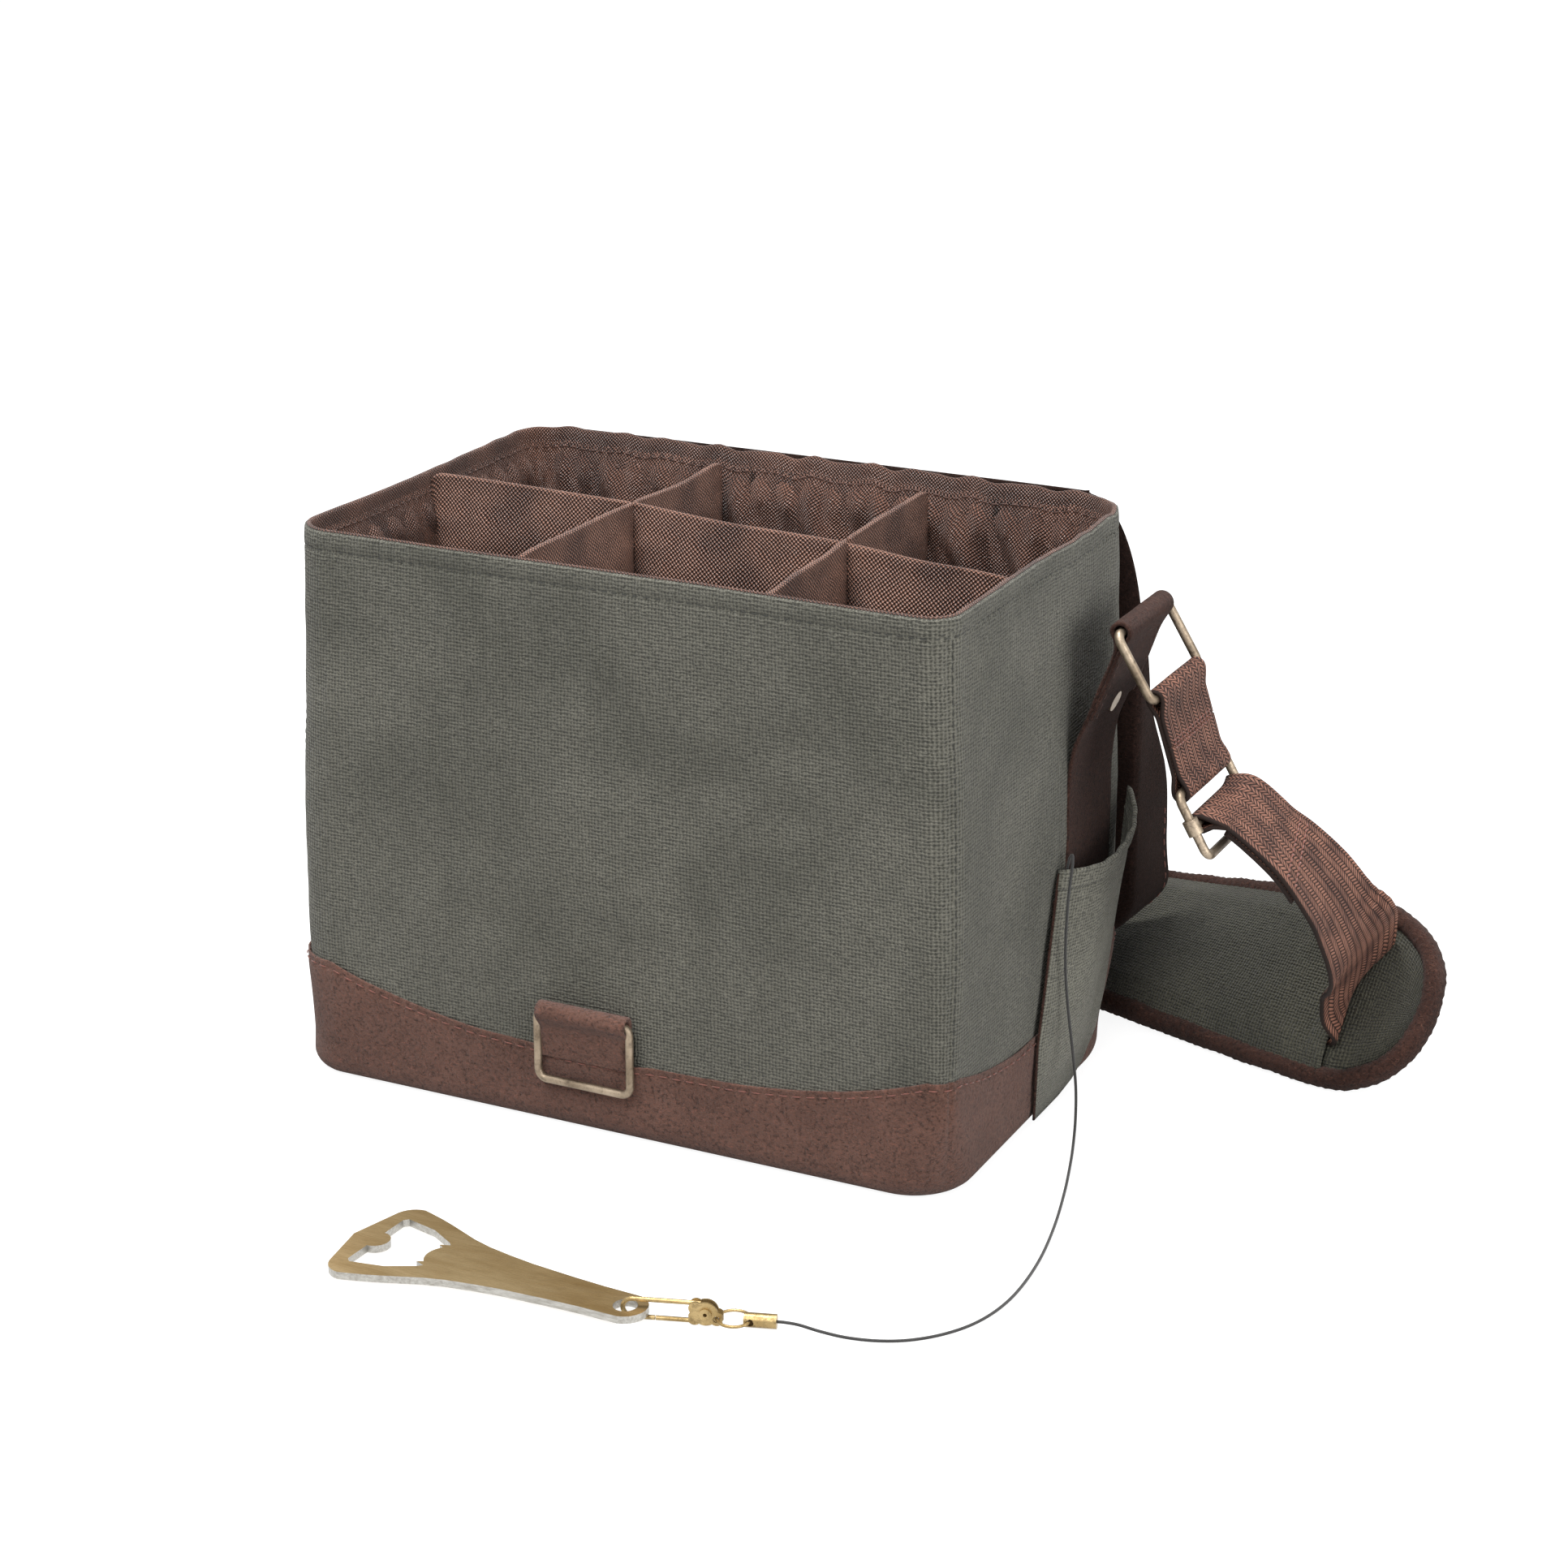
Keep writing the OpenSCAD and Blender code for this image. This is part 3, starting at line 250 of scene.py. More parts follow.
def plain_material(name, colour, rough, scale):
    return grainy_material(name, colour, 0.86, scale, 4.0, 0.7, (0.35, 0.65), 0.0003,
                           Roughness=rough, Specular_IOR_Level=0.2)


def brass_material(name, main, worn, dark, rough=0.36):
    """Antique brass: a pale rubbed metal with dark speckled patina."""
    s = Shader(name, Metallic=0.85, Specular_IOR_Level=0.5)
    place = s.object_place()
    speck = s.noise(place, 1500.0, 4.0, 0.75)
    colour = s.tint(main, (s.noise(place, 60.0), 0.35, 0.65, 1.0, worn),
                    (s.noise(place, 260.0, 6.0, 0.68, 0.4), 0.5, 0.7, 0.75, dark),
                    (speck, 0.56, 0.72, 0.6, dark))
    return s.finish(colour, s.between(speck, 0.3, 0.7, rough, rough + 0.22), (speck, 0.00012, 0.5))


def opener_material():
    """Brushed brass on the flat faces, bare steel on the cut edges."""
    s = Shader("opener_brushed", Metallic=0.9, Specular_IOR_Level=0.5)
    upward = s.node("SeparateXYZ", {0: s.node("TexCoord", output="Normal")}, 2)
    flat = s.between(s.math("ABSOLUTE", upward), 0.75, 0.92)
    grain = s.noise(s.object_place((0.16, 2.2, 1.0)), 900.0, 4.0, 0.75)
    broad = s.noise(s.object_place((0.3, 1.4, 1.0)), 60.0, 4.0, 0.65)
    scratch = s.noise(s.object_place((0.5, 1.0, 1.0)), 340.0, 6.0, 0.8, 0.8)
    brass = s.tint((180, 150, 102), (broad, 0.32, 0.68, 1.0, (216, 190, 144)),
                   (grain, 0.42, 0.7, 0.55, (122, 98, 58)), (scratch, 0.68, 0.8, 0.5, (226, 208, 172)))
    steel = s.tint((186, 184, 178), (grain, 0.35, 0.65, 1.0, (150, 146, 138)))
    return s.finish(s.mix(flat, steel, brass), s.between(grain, 0.3, 0.7, 0.3, 0.46), (grain, 0.00015, 0.35))


CANVAS = canvas_material("waxed_canvas", (97, 96, 86), (121, 119, 108), (50, 50, 43))
# The pocket's canvas is the bag's canvas made lighter: painted light, for the pocket's face turned to the
# lamps
CANVAS_POCKET_LIT = canvas_material("waxed_canvas_pocket_painted_light", (115, 113, 102), (142, 140, 127), (64, 64, 56))
# The pad's canvas is darker than the bag's: painted shade, for the pad lying behind the bag in its shadow
CANVAS_PAD_SHADED = canvas_material("waxed_canvas_pad_painted_shade", (61, 60, 50), (82, 80, 67), (26, 26, 20), 1.4, 0.15)
SUEDE = suede_material("suede_band", (104, 74, 63), (120, 87, 75), (44, 28, 23), (138, 95, 81), 0.2)
SUEDE_DARK = suede_material("suede_strap", (58, 38, 32), (71, 48, 41), (22, 14, 12), (98, 68, 57), 0.08)
# The lid's suede is the strap's suede darkened: painted shade, for the lid that hangs in the bag's shadow
SUEDE_LID_SHADED = suede_material("suede_lid_painted_shade", (39, 26, 22), (49, 33, 28), (15, 9, 7), (68, 47, 40), 0.04)
# The nylons' pale colours serve as painted highlights on the thread crowns and as random lighter clouds;
# their dark colours are painted shade in the gaps
LINING = nylon_material("nylon_lining", (73, 47, 39), (172, 124, 104), (15, 8, 6), 1.6, 0.76)
PADDED = nylon_material("nylon_dividers", (94, 62, 51), (212, 158, 134), (18, 10, 7), 1.9, 0.66)
# The webbing's dark colour is painted shade in the weave's grooves; its pale one is painted highlight on the
# strand crowns and also random lighter clouds
WEBBING = webbing_material("heavy_webbing", (88, 56, 46), (152, 106, 88), (12, 7, 5))
THREAD_DARK = thread_material("thread_dark", (62, 62, 56))
THREAD_RED = thread_material("thread_red", (134, 82, 70))
THREAD_BROWN = thread_material("thread_brown", (92, 62, 52))
BRASS = brass_material("antique_brass", (128, 113, 95), (170, 154, 134), (54, 44, 34))
HOOK_BRASS = brass_material("yellow_brass", (142, 118, 74), (182, 158, 112), (70, 54, 30), 0.3)
OPENER = opener_material()
CORD = thread_material("dark_cord", (58, 57, 56))
FOAM = plain_material("closed_cell_foam", (214, 214, 208), 0.9, 800.0)
BOARD = plain_material("base_board", (60, 60, 58), 0.6, 300.0)


# Stage: a white floor that keeps a soft shadow, and plain soft lamps
FLOOR_HALF, FLOOR_Z, FLOOR_GLOW = 8.0, -0.0004, 0.9
WORLD_LEVEL = 0.42
# Name, place, size and power of each lamp, and the place they all point to
LAMPS = (("key", (0.2, -1.9, 2.0), 1.2, 38), ("top", (-0.3, -0.1, 2.2), 0.8, 52),
         ("low_right", (2.2, -0.5, 0.6), 1.4, 30))
LAMP_TARGET = (0.0, 0.0, 0.12)


def seen_directly(tree):
    """1 for rays from the camera, or seen in metal or through glass."""
    rays = add_node(tree, "LightPath").outputs
    seen = rays["Is Camera Ray"]
    for kind in ("Is Glossy Ray", "Is Transmission Ray"):
        seen = add_node(tree, "Math", {0: seen, 1: rays[kind]}, operation="MAXIMUM").outputs[0]
    return seen


def make_stage():
    s = Shader("floor_white", Base_Color=(0.3, 0.3, 0.3, 1), Roughness=0.9, Specular_IOR_Level=0.0,
               Emission_Color=(1, 1, 1, 1))
    s.tree.links.new(s.times(seen_directly(s.tree), FLOOR_GLOW), s.surface.inputs["Emission Strength"])
    mesh = bpy.data.meshes.new("floor")
    corners = [(x * FLOOR_HALF, y * FLOOR_HALF, 0) for x, y in ((-1, -1), (1, -1), (1, 1), (-1, 1))]
    mesh.from_pydata(corners, [], [(0, 1, 2, 3)])
    mesh.materials.append(s.material)
    floor = place_object("floor", mesh)
    floor.location = (0, 0, FLOOR_Z)
    world = bpy.data.worlds.new("studio")
    bpy.context.scene.world = world
    world.use_nodes = True
    tree = world.node_tree
    background = tree.nodes["Background"].inputs
    background["Color"].default_value = (1, 1, 1, 1)
    level = add_node(tree, "MapRange", {"Value": seen_directly(tree), "To Min": WORLD_LEVEL, "To Max": 1.0})
    tree.links.new(level.outputs[0], background["Strength"])
    for name, place, size, power in LAMPS:
        data = bpy.data.lights.new(name, "AREA")
        data.shape, data.size, data.energy = "SQUARE", size, power
        place_object(name, data, place, LAMP_TARGET)


# Mesh helpers: grids of points in millimetres
def ripple(a, b, size, seed, waves=7):
    """A smooth random field over a and b, about one bump to each size, mostly within -1 to 1."""
    draw = np.random.default_rng(seed)
    total = 0.0
    for _ in range(waves):
        angle = draw.uniform(0, 2 * math.pi)
        pitch = size * draw.uniform(0.8, 1.8)
        phase = draw.uniform(0, 2 * math.pi)
        total = total + np.sin((a * math.cos(angle) + b * math.sin(angle)) * 2 * math.pi / pitch + phase)
    return total / math.sqrt(2 * waves)


def smooth(value, low, high):
    t = np.clip((value - low) / (high - low), 0, 1)
    return t * t * (3 - 2 * t)


def near(value, middle, width):
    """1 at the middle, and falling off like a bell."""
    return np.exp(-((value - middle) / width) ** 2)


def cosine(value, pitch, phase=0.0):
    return np.cos(2 * math.pi * value / pitch + phase)


def unit(v):
    return v / np.maximum(np.linalg.norm(v, axis=-1, keepdims=True), 1e-9)


def closed(rows):
    return np.concatenate([rows, rows[:1]])


def rows_of(vector, count):
    return np.tile(np.array(vector, float), (count, 1))


def pairs(u, v):
    return np.stack(np.meshgrid(u, v, indexing="ij"), -1)


def catmull(points, steps):
    """A Catmull-Rom curve through the points, with steps between two of them."""
    p = np.asarray(points, float)
    ends = np.concatenate([p[:1], p, p[-1:]])
    t = (np.arange(steps) / steps)[:, None]
    out = [0.5 * (2 * b + (c - a) * t + (2 * a - 5 * b + 4 * c - d) * t ** 2
                  + (3 * b - a - 3 * c + d) * t ** 3)
           for a, b, c, d in zip(ends, ends[1:], ends[2:], ends[3:])]
    return np.concatenate(out + [p[-1:]])


def lengths_along(path):
    return np.append(0, np.cumsum(np.linalg.norm(np.diff(path, axis=0), axis=1)))


def at_lengths(at, run, rows):
    """Rows of values read at lengths along a path."""
    return np.stack([np.interp(at, run, column) for column in np.asarray(rows, float).T], 1)


def resample(path, step, other):
    """The path at even steps, with other rows of values carried along."""
    run = lengths_along(path)
    at = np.linspace(0, run[-1], max(int(round(run[-1] / step)), 2) + 1)
    return at_lengths(at, run, path), at_lengths(at, run, other)


def tangents(path):
    return unit(np.gradient(path, axis=0))


def surface_normals(grid):
    return unit(np.cross(np.gradient(grid, axis=0), np.gradient(grid, axis=1)))


def mean_run(grid, way):
    """Distance along one way of a grid, on average over the other."""
    return np.append(0, np.cumsum(np.linalg.norm(np.diff(grid, axis=way), axis=2).mean(1 - way)))


def make_object(name, verts, faces, material, uv=None):
    mesh = bpy.data.meshes.new(name)
    mesh.from_pydata((np.asarray(verts, float) * MM).tolist(), [], faces)
    mesh.update()
    if uv is not None:
        mesh.uv_layers.new(name="cloth").data.foreach_set("uv", np.asarray(uv, np.float32).ravel())
    mesh.materials.append(material)
    mesh.polygons.foreach_set("use_smooth", [True] * len(mesh.polygons))
    return place_object(name, mesh)


def weld(obj, distance=1e-5):
    """Joins points that lie together, such as where a slab's two faces meet at its ends."""
    bm = bmesh.new()
    bm.from_mesh(obj.data)
    bmesh.ops.remove_doubles(bm, verts=bm.verts, dist=distance)
    bmesh.ops.dissolve_degenerate(bm, edges=bm.edges, dist=distance / 10)
    bmesh.ops.recalc_face_normals(bm, faces=bm.faces)
    bm.to_mesh(obj.data)
    bm.free()
    return obj


def grid_faces(shape, uv, wrap_u=False):
    """Quads over a grid, and the cloth coordinates of their corners. The grid closes across, and along
    where it wraps, and uv has one more row or column where it closes."""
    nu, nv = shape[:2]
    iu, iv = np.meshgrid(np.arange(nu if wrap_u else nu - 1), np.arange(nv), indexing="ij")
    corners = ((iu, iv), (iu + 1, iv), (iu + 1, iv + 1), (iu, iv + 1))
    faces = np.stack([a % nu * nv + b % nv for a, b in corners], -1).reshape(-1, 4)
    return faces.tolist(), np.stack([uv[a, b] for a, b in corners], 2).reshape(-1, 2)


def grid_object(name, grid, material, uv, wrap_u=False):
    faces, corners = grid_faces(grid.shape, uv, wrap_u)
    return weld(make_object(name, grid.reshape(-1, 3), faces, material, corners))


def joined_lofts(name, grids, material, cloth=True):
    """Lofts that are closed round and capped at both ends, in one mesh."""
    faces, corners, shift = [], [], 0
    for grid in grids:
        nu, nv = grid.shape[:2]
        uv = pairs(mean_run(grid, 0), mean_run(np.concatenate([grid, grid[:, :1]], 1), 1))
        quads, quad_uv = grid_faces(grid.shape, uv)
        ends = [list(range(nv)), [(nu - 1) * nv + j for j in reversed(range(nv))]]
        faces += [[shift + k for k in face] for face in quads + ends]
        corners += [quad_uv, uv[0, :nv], uv[-1, :nv][::-1]]
        shift += nu * nv
    verts = np.concatenate([grid.reshape(-1, 3) for grid in grids])
    made = make_object(name, verts, faces, material, np.concatenate(corners) if cloth else None)
    return weld(made) if cloth else made


def slab_object(name, grid, thickness, material, edge=0.7):
    """A closed sheet of the thickness about a grid of points, its edges rounded by a share of its half."""
    half = np.broadcast_to(np.asarray(thickness, float), grid.shape[:2])[..., None] / 2
    uv = pairs(mean_run(grid, 0), mean_run(grid, 1))
    rise = surface_normals(grid) * half
    rise = np.concatenate([rise[:1] * 0, rise, rise[-1:] * 0])
    middle = np.concatenate([grid[:1] + unit(grid[:1] - grid[1:2]) * half[:1] * edge, grid,
                             grid[-1:] + unit(grid[-1:] - grid[-2:-1]) * half[-1:] * edge])
    top = middle + rise
    first = middle[:, :1] + unit(top[:, :1] - top[:, 1:2]) * half.mean() * edge
    last = middle[:, -1:] + unit(top[:, -1:] - top[:, -2:-1]) * half.mean() * edge
    loop = np.concatenate([first, top, last, (middle - rise)[:, ::-1]], 1)
    uv = np.concatenate([uv[:1], uv, uv[-1:]])
    uv = np.concatenate([uv[:, :1], uv, uv[:, -1:], uv[:, ::-1], uv[:, :1]], 1)
    return grid_object(name, loop, material, uv)


def dress(obj, body, slot, *nodes):
    """The piece rides on a body and stands for CAD nodes, which it hides. The slot is not used."""
    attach(obj, body)
    if nodes:
        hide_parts(*nodes)
    return obj


# Sewing, by the first word of a seam's name: thread, pitch, share of the pitch that shows, half
# thickness, lift off the cloth, and the body it rides on
SEWING = {
    "rim": (THREAD_DARK, 4.6, 0.7, 0.3, 0.12, "tote"),
    "seam": (THREAD_DARK, 4.4, 0.62, 0.24, 0.05, "tote"),
    "band": (THREAD_RED, 6.0, 0.62, 0.32, 0.1, "tote"),
    "lining": (THREAD_BROWN, 4.6, 0.7, 0.32, 0.15, "tote"),
    "lid": (THREAD_RED, 5.6, 0.62, 0.3, 0.08, "lid"),
    "closure": (THREAD_RED, 5.2, 0.62, 0.26, 0.05, "closure"),
    "strap": (THREAD_BROWN, 4.8, 0.62, 0.26, 0.06, "tote"),
    "connector": (THREAD_RED, 3.4, 0.75, 0.34, 0.0, "connector"),
    "cover": (THREAD_DARK, 4.6, 0.66, 0.3, 0.05, "shoulder_strap"),
    "web": (THREAD_RED, 3.6, 0.75, 0.36, 0.05, "shoulder_strap"),
    "pocket": (THREAD_DARK, 4.4, 0.66, 0.28, 0.05, "tote")}


def stitches(name, path, normals):
    """A line of sewn stitches that lie on a path, as small rounded threads."""
    material, pitch, share, thick, lift, body = SEWING[name.split("_")[0]]
    path, normals = resample(np.asarray(path, float), 0.5, normals)
    run = lengths_along(path)
    places = np.array([-1, -0.72, 0, 0.72, 1])
    sizes = np.array([0.25, 0.85, 1, 0.85, 0.25])[:, None, None]
    drops = np.array([-1.0, 0.1, 0.5, 0.1, -1.0])[:, None]
    a = np.radians(np.arange(0, 360, 60))[:, None]
    threads = []
    for middle in np.arange(pitch / 2, run[-1], pitch):
        at = np.clip(middle + places * pitch * share / 2, 0, run[-1])
        p, n = at_lengths(at, run, path), unit(at_lengths(at, run, normals))
        b = unit(np.cross(tangents(p), n))
        round_it = b[:, None] * np.cos(a) + n[:, None] * np.sin(a)
        threads.append((p + n * (lift + thick * drops * 0.5))[:, None] + round_it * thick * sizes)
    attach(joined_lofts(name, threads, material, False), body)


# Tether cord: the route repeats the CAD's, in millimetres
CORD_D = 1.2
CORD_ROUTE = [
    [131.1, -207.7, 3], [134, -206.9, 3], [139, -205.7, 2.6], [147, -204.8, 1.5],
    [157, -203.5, 0.8], [168, -200.5, 0.7], [178, -195, 0.7], [187, -186, 0.7], [194, -174, 0.7],
    [198, -159, 0.7], [199, -141, 0.7], [197, -117, 0.7], [192, -90, 0.7], [185, -62, 0.7],
    [178, -38, 0.8], [173, -22, 2.5], [169, -10, 8], [166, -3, 18], [163, 0, 32],
    [160.5, 0.5, 48], [159, 0, 64], [158.5, 0, 80], [158.5, 1, 94], [158.5, 3, 104],
    [158.3, 5.5, 110.5], [157, 8.5, 113.4], [155.3, 10.2, 111.5], [154, 10.8, 106], [153.4, 10.8, 99],
    [153.2, 10.2, 95], [153.22, 10, 93]]


def tether_cord():
    # The cord leaves its anchor inside the pocket, so the route runs from there to the crimp
    line = catmull(CORD_ROUTE[::-1], 6)
    data = bpy.data.curves.new("tether_line", "CURVE")
    data.dimensions = "3D"
    spline = data.splines.new("POLY")
    spline.points.add(len(line) - 1)
    for point, place in zip(spline.points, line * MM):
        point.co = (*place, 1)
    data.bevel_depth, data.bevel_resolution, data.use_fill_caps = CORD_D / 2 * MM, 3, True
    data.materials.append(CORD)
    cord = dress(place_object("tether_line", data), "tote", "cord", "tether_cord")


make_camera()
tether_cord()
make_stage()


# Shell: stations round the plan, and the wall's outline at each height
RIM_Z = 240.0
SHELL_HALF_X, SHELL_HALF_Y = 149.6, 96.6
# Drops of the seams below the rim, and the pitch of the puckers along them
RIM_SEAM, LINING_SEAM, RIM_PUCKER = 8.0, 8.2, 5.2
FRONT_STEPS, SIDE_STEPS, CORNER_STEPS = 96, 62, 22


def plan_stations():
    """(kind, place) round the bag: fronts and sides are 0 to 1 along, corners 0 to 1 round the arc."""
    bend = np.linspace(-1, 1, CORNER_STEPS + 1)[:-1]
    bend = 0.5 + 0.5 * np.sign(bend) * np.abs(bend) ** 1.6
    steps = [bend if kind % 2 else np.linspace(0, 1, (FRONT_STEPS, SIDE_STEPS)[kind // 2 % 2] + 1)[:-1]
             for kind in range(8)]
    return np.repeat(np.arange(8), [len(s) for s in steps]), np.concatenate(steps)


KIND, PLACE = plan_stations()


def wall_sizes(z):
    """Left and right place, half depth, and the radii of the corners front right, back right,
    back left and front left, at a height."""
    share = np.clip((z - 60) / 180, 0, 1)
    low = 20 * (1 - smooth(z, 5, 60))
    radii = (9 + 4 * share + 17 * (1 - smooth(z, 0, 42)), 25 + low, 20 + low, 19 + 0 * low)
    return -SHELL_HALF_X + 7.0 * share ** 1.5, SHELL_HALF_X - 3.0 * np.clip((z - 100) / 140, 0, 1), \
        SHELL_HALF_Y + 0.4 * smooth(z, 150, 240), radii


def plan_points(z, kinds=KIND, places=PLACE, out=0.0):
    """Points and outward normals of the wall at heights z, moved out by a distance."""
    z = np.asarray(z, float)
    kinds, places, out = [np.broadcast_to(v, z.shape) for v in (kinds, places, out)]
    left, right, depth, radii = wall_sizes(z)
    corner = kinds % 2 == 1
    angle = np.radians(90.0 * (kinds // 2 - 1 + places * corner))
    normal = np.stack([np.cos(angle), np.sin(angle), 0 * angle], -1)
    ends = []
    for number in ((kinds // 2 - 1) % 4, kinds // 2):
        radius = np.choose(number, radii)
        x = np.where(number < 2, right - radius, left + radius)
        y = np.where(number % 3 == 0, radius - depth, depth - radius)
        ends.append(np.stack([x, y, z], -1) + normal * radius[..., None])
    # A corner's point lies on its own arc, a wall's between the ends of the arcs beside it
    points = ends[0] + (ends[1] - ends[0]) * np.where(corner, 1.0, places)[..., None]
    return points + normal * out[..., None], normal


# Arc length round the bag at each station, used for cloth coordinates and ripples
AROUND = lengths_along(closed(plan_points(np.full(KIND.shape, 120.0))[0]))
AROUND, AROUND_TOTAL = AROUND[:-1], AROUND[-1]
RING = AROUND[:, None]


def rim_rise(around):
    """How far the rim waves up and down."""
    share = around / AROUND_TOTAL
    turn = 2 * math.pi * share
    back = near(share, 0.62, 0.16) * (0.9 * np.sin(38 * turn) + 0.5 * np.sin(61 * turn + 1.0))
    slow = 0.5 * np.sin(3 * turn + 0.6) + 0.35 * np.sin(5 * turn + 2.1) - 0.3
    return slow + 0.5 * near(share, 0.16, 0.1) - 1.8 * near(share, 0.41, 0.05) + back


def seam_dip(width=0.05):
    """1 along the upright seam of each corner, which lies a little off the middle of its arc."""
    seam = np.where(KIND < 4, 0.6, 0.35)
    return (near(PLACE, seam, width) * (KIND % 2))[:, None]


def wall_out(around, z):
    """How far the cloth stands off the plain wall: soft billows and creases."""
    billow = 1.1 * np.sin(math.pi * np.clip(z / RIM_Z, 0, 1)) ** 1.2
    soft = 0.75 * ripple(around, z, 85, 3) + 0.3 * ripple(around, z, 34, 5) + 0.1 * ripple(around, z, 13, 7)
    return billow + soft * smooth(z, 30, 90) * (1 - 0.55 * smooth(z, 205, 238))


def wall_piece(name, node, slot, material, profile, z, out, last=1.0):
    """A piece right round the bag for the four nodes, or the one node, that it stands for."""
    points, _ = plan_points(z, KIND[:, None], PLACE[:, None], out)
    points[..., 2] = np.maximum(points[..., 2], 0.0)
    run = lengths_along(profile)
    uv = pairs(np.append(AROUND, AROUND_TOTAL), np.append(run, run[-1] + last))
    nodes = [node] if "walls" in node else [node + "_" + side for side in SIDES]
    dress(grid_object(name, points, material, uv, wrap_u=True), "tote", slot, *nodes)


def ring_stitches(name, z, out, face=1):
    """Stitches right round the bag at heights z, on its outside (1) or inside (-1)."""
    line, normal = plan_points(z, out=out)
    stitches(name, closed(line), face * closed(normal))


def canvas_shell():
    # Profile: (height below the rim, inset), up the outside, over the rim and down inside
    profile = np.array([(d, 0.0) for d in np.linspace(218, 12, 84)] + [
        (10.5, 0.0), (9.6, 0.03), (9.0, 0.15), (8.4, 0.32), (8.0, 0.36), (7.6, 0.32), (7.0, 0.1), (6.4, 0.0),
        (5.2, -0.1), (3.8, -0.1), (2.4, 0.0), (1.4, 0.1), (0.6, 0.25), (0.35, 0.7), (0.3, 1.2), (0.4, 1.7),
        (0.8, 2.1), (3, 2.2), (8, 2.0), (14, 1.7), (60, 1.5), (120, 1.5), (218, 1.5)])
    drop, inset = profile.T[:, None]
    z = RIM_Z - drop + rim_rise(RING) * smooth(RIM_Z - drop, 150, 240)
    pucker = 0.28 * near(drop, RIM_SEAM, 1.6) * cosine(RING, RIM_PUCKER)
    groove = 0.55 * seam_dip() * smooth(drop, 1, 5)
    out = wall_out(RING, z) - inset - (groove + pucker) * (inset < 1.2)
    wall_piece("canvas_shell", "canvas", "canvas", CANVAS, profile, z, out, 1.5)
    z = RIM_Z - RIM_SEAM + rim_rise(AROUND)
    ring_stitches("rim_stitches", z, wall_out(AROUND, z) - 0.55)
    z = np.linspace(55, 230, 80)
    for name, kind, place in (("front_right", 1, 0.69), ("front_left", 7, 0.26),
                              ("back_right", 3, 0.69), ("back_left", 5, 0.26)):
        out = wall_out(np.interp(kind + place, KIND + PLACE, AROUND), z)
        stitches("seam_stitches_" + name, *plan_points(z, kind, place, out))


canvas_shell()


# Base band: suede lapped over the canvas, dipping at the middle of each wall
BAND_LOW_FRONT, BAND_LOW_SIDE, BAND_HIGH = 35.2, 40.2, 53.5
BAND_T, BAND_R, BAND_SEAM = 1.2, 9.0, 2.6
TAB_X, TAB_W = -8.2, 40.0


def band_out(around, z, at_tab):
    """Waves of the band's cloth, and how far it stands off the wall, with room for the tab behind it."""
    waves = 0.5 * ripple(around, z, 55, 21) + 0.25 * ripple(around, z, 20, 22)
    return waves, BAND_T + wall_out(around, z) * smooth(z, 20, 50) + 2.7 * at_tab * smooth(z, 18, 36)


def base_band():
    ring, _ = plan_points(np.full(KIND.shape, 20.0))
    long = KIND % 4 == 0
    along = np.where(KIND % 2 == 1, 1.0, np.abs(2 * PLACE - 1))
    low = np.where(long, BAND_LOW_FRONT, BAND_LOW_SIDE)
    top = low + (BAND_HIGH - low) * along ** np.where(long, 2.9, 2.0)
    at_tab = np.exp(-(np.abs(ring[:, 0] - TAB_X) / (TAB_W * 0.56)) ** 6) * (ring[:, 1] < -90)
    arc = np.radians(np.linspace(0, 90, 9))
    inner_r = BAND_R - BAND_T
    # Profile: (share of the way up to the top edge, height, inset)
    profile = np.array(
        [(0, 0.0, 13.5), (0, 0.0, 11.0)]
        + [(0, BAND_R * (1 - math.sin(a)), BAND_R * (1 - math.cos(a))) for a in arc[::-1]]
        + [(s, BAND_R, 0.0) for s in np.linspace(0.03, 0.995, 40)]
        + [(1.0, BAND_R, 0.15), (1.004, BAND_R, 0.6)] + [(s, BAND_R, BAND_T) for s in (1.0, 0.8, 0.4, 0.0)]
        + [(0, BAND_T + inner_r * (1 - math.sin(a)), BAND_T + inner_r * (1 - math.cos(a))) for a in arc]
        + [(0, BAND_T, 11.0), (0, BAND_T, 13.5)])
    share, height, inset = profile.T[:, None]
    z = height + share * (top[:, None] - BAND_R)
    below = top[:, None] - z
    pucker = 0.22 * near(below, BAND_SEAM, 1.2) * (1 + cosine(RING, 6.0))
    waves, out = band_out(RING, z, at_tab[:, None])
    out = out + 0.25 + waves * smooth(z, 6, 20) - inset - pucker
    out = out - 0.35 * near(below, 0, 3.2) * (inset < 1) - 0.9 * seam_dip() * (inset < 1.1)
    run = np.column_stack([profile[:, 0] * 32 + profile[:, 1], profile[:, 2]])
    wall_piece("suede_base_band", "base_band", "suede", SUEDE, run, z, out)
    z = top - BAND_SEAM
    ring_stitches("band_stitches", z, sum(band_out(AROUND, z, at_tab)) + 0.1)


base_band()

# CAD nodes that stay get a material in their slots
for material, names in (
        (BRASS, "front_ring side_ring_right side_ring_left slider strap_rivet_right strap_rivet_left"),
        (HOOK_BRASS, "hook_wire hook_gate hook_plates hook_rivet split_ring cord_crimp"),
        (OPENER, "bottle_opener"), (SUEDE_DARK, "cord_anchor")):
    for name in names.split():
        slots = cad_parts[name].data.materials
        slots.clear()
        slots.append(material)


# Foam and lining: lofts inside the canvas. The foam has a share of the canvas's billows
FOAM_LOW, FOAM_HIGH, FOAM_FOLLOWS = 10.0, 222.0, 0.6
FOAM_OUTER, FOAM_INNER = 2.0, 4.7


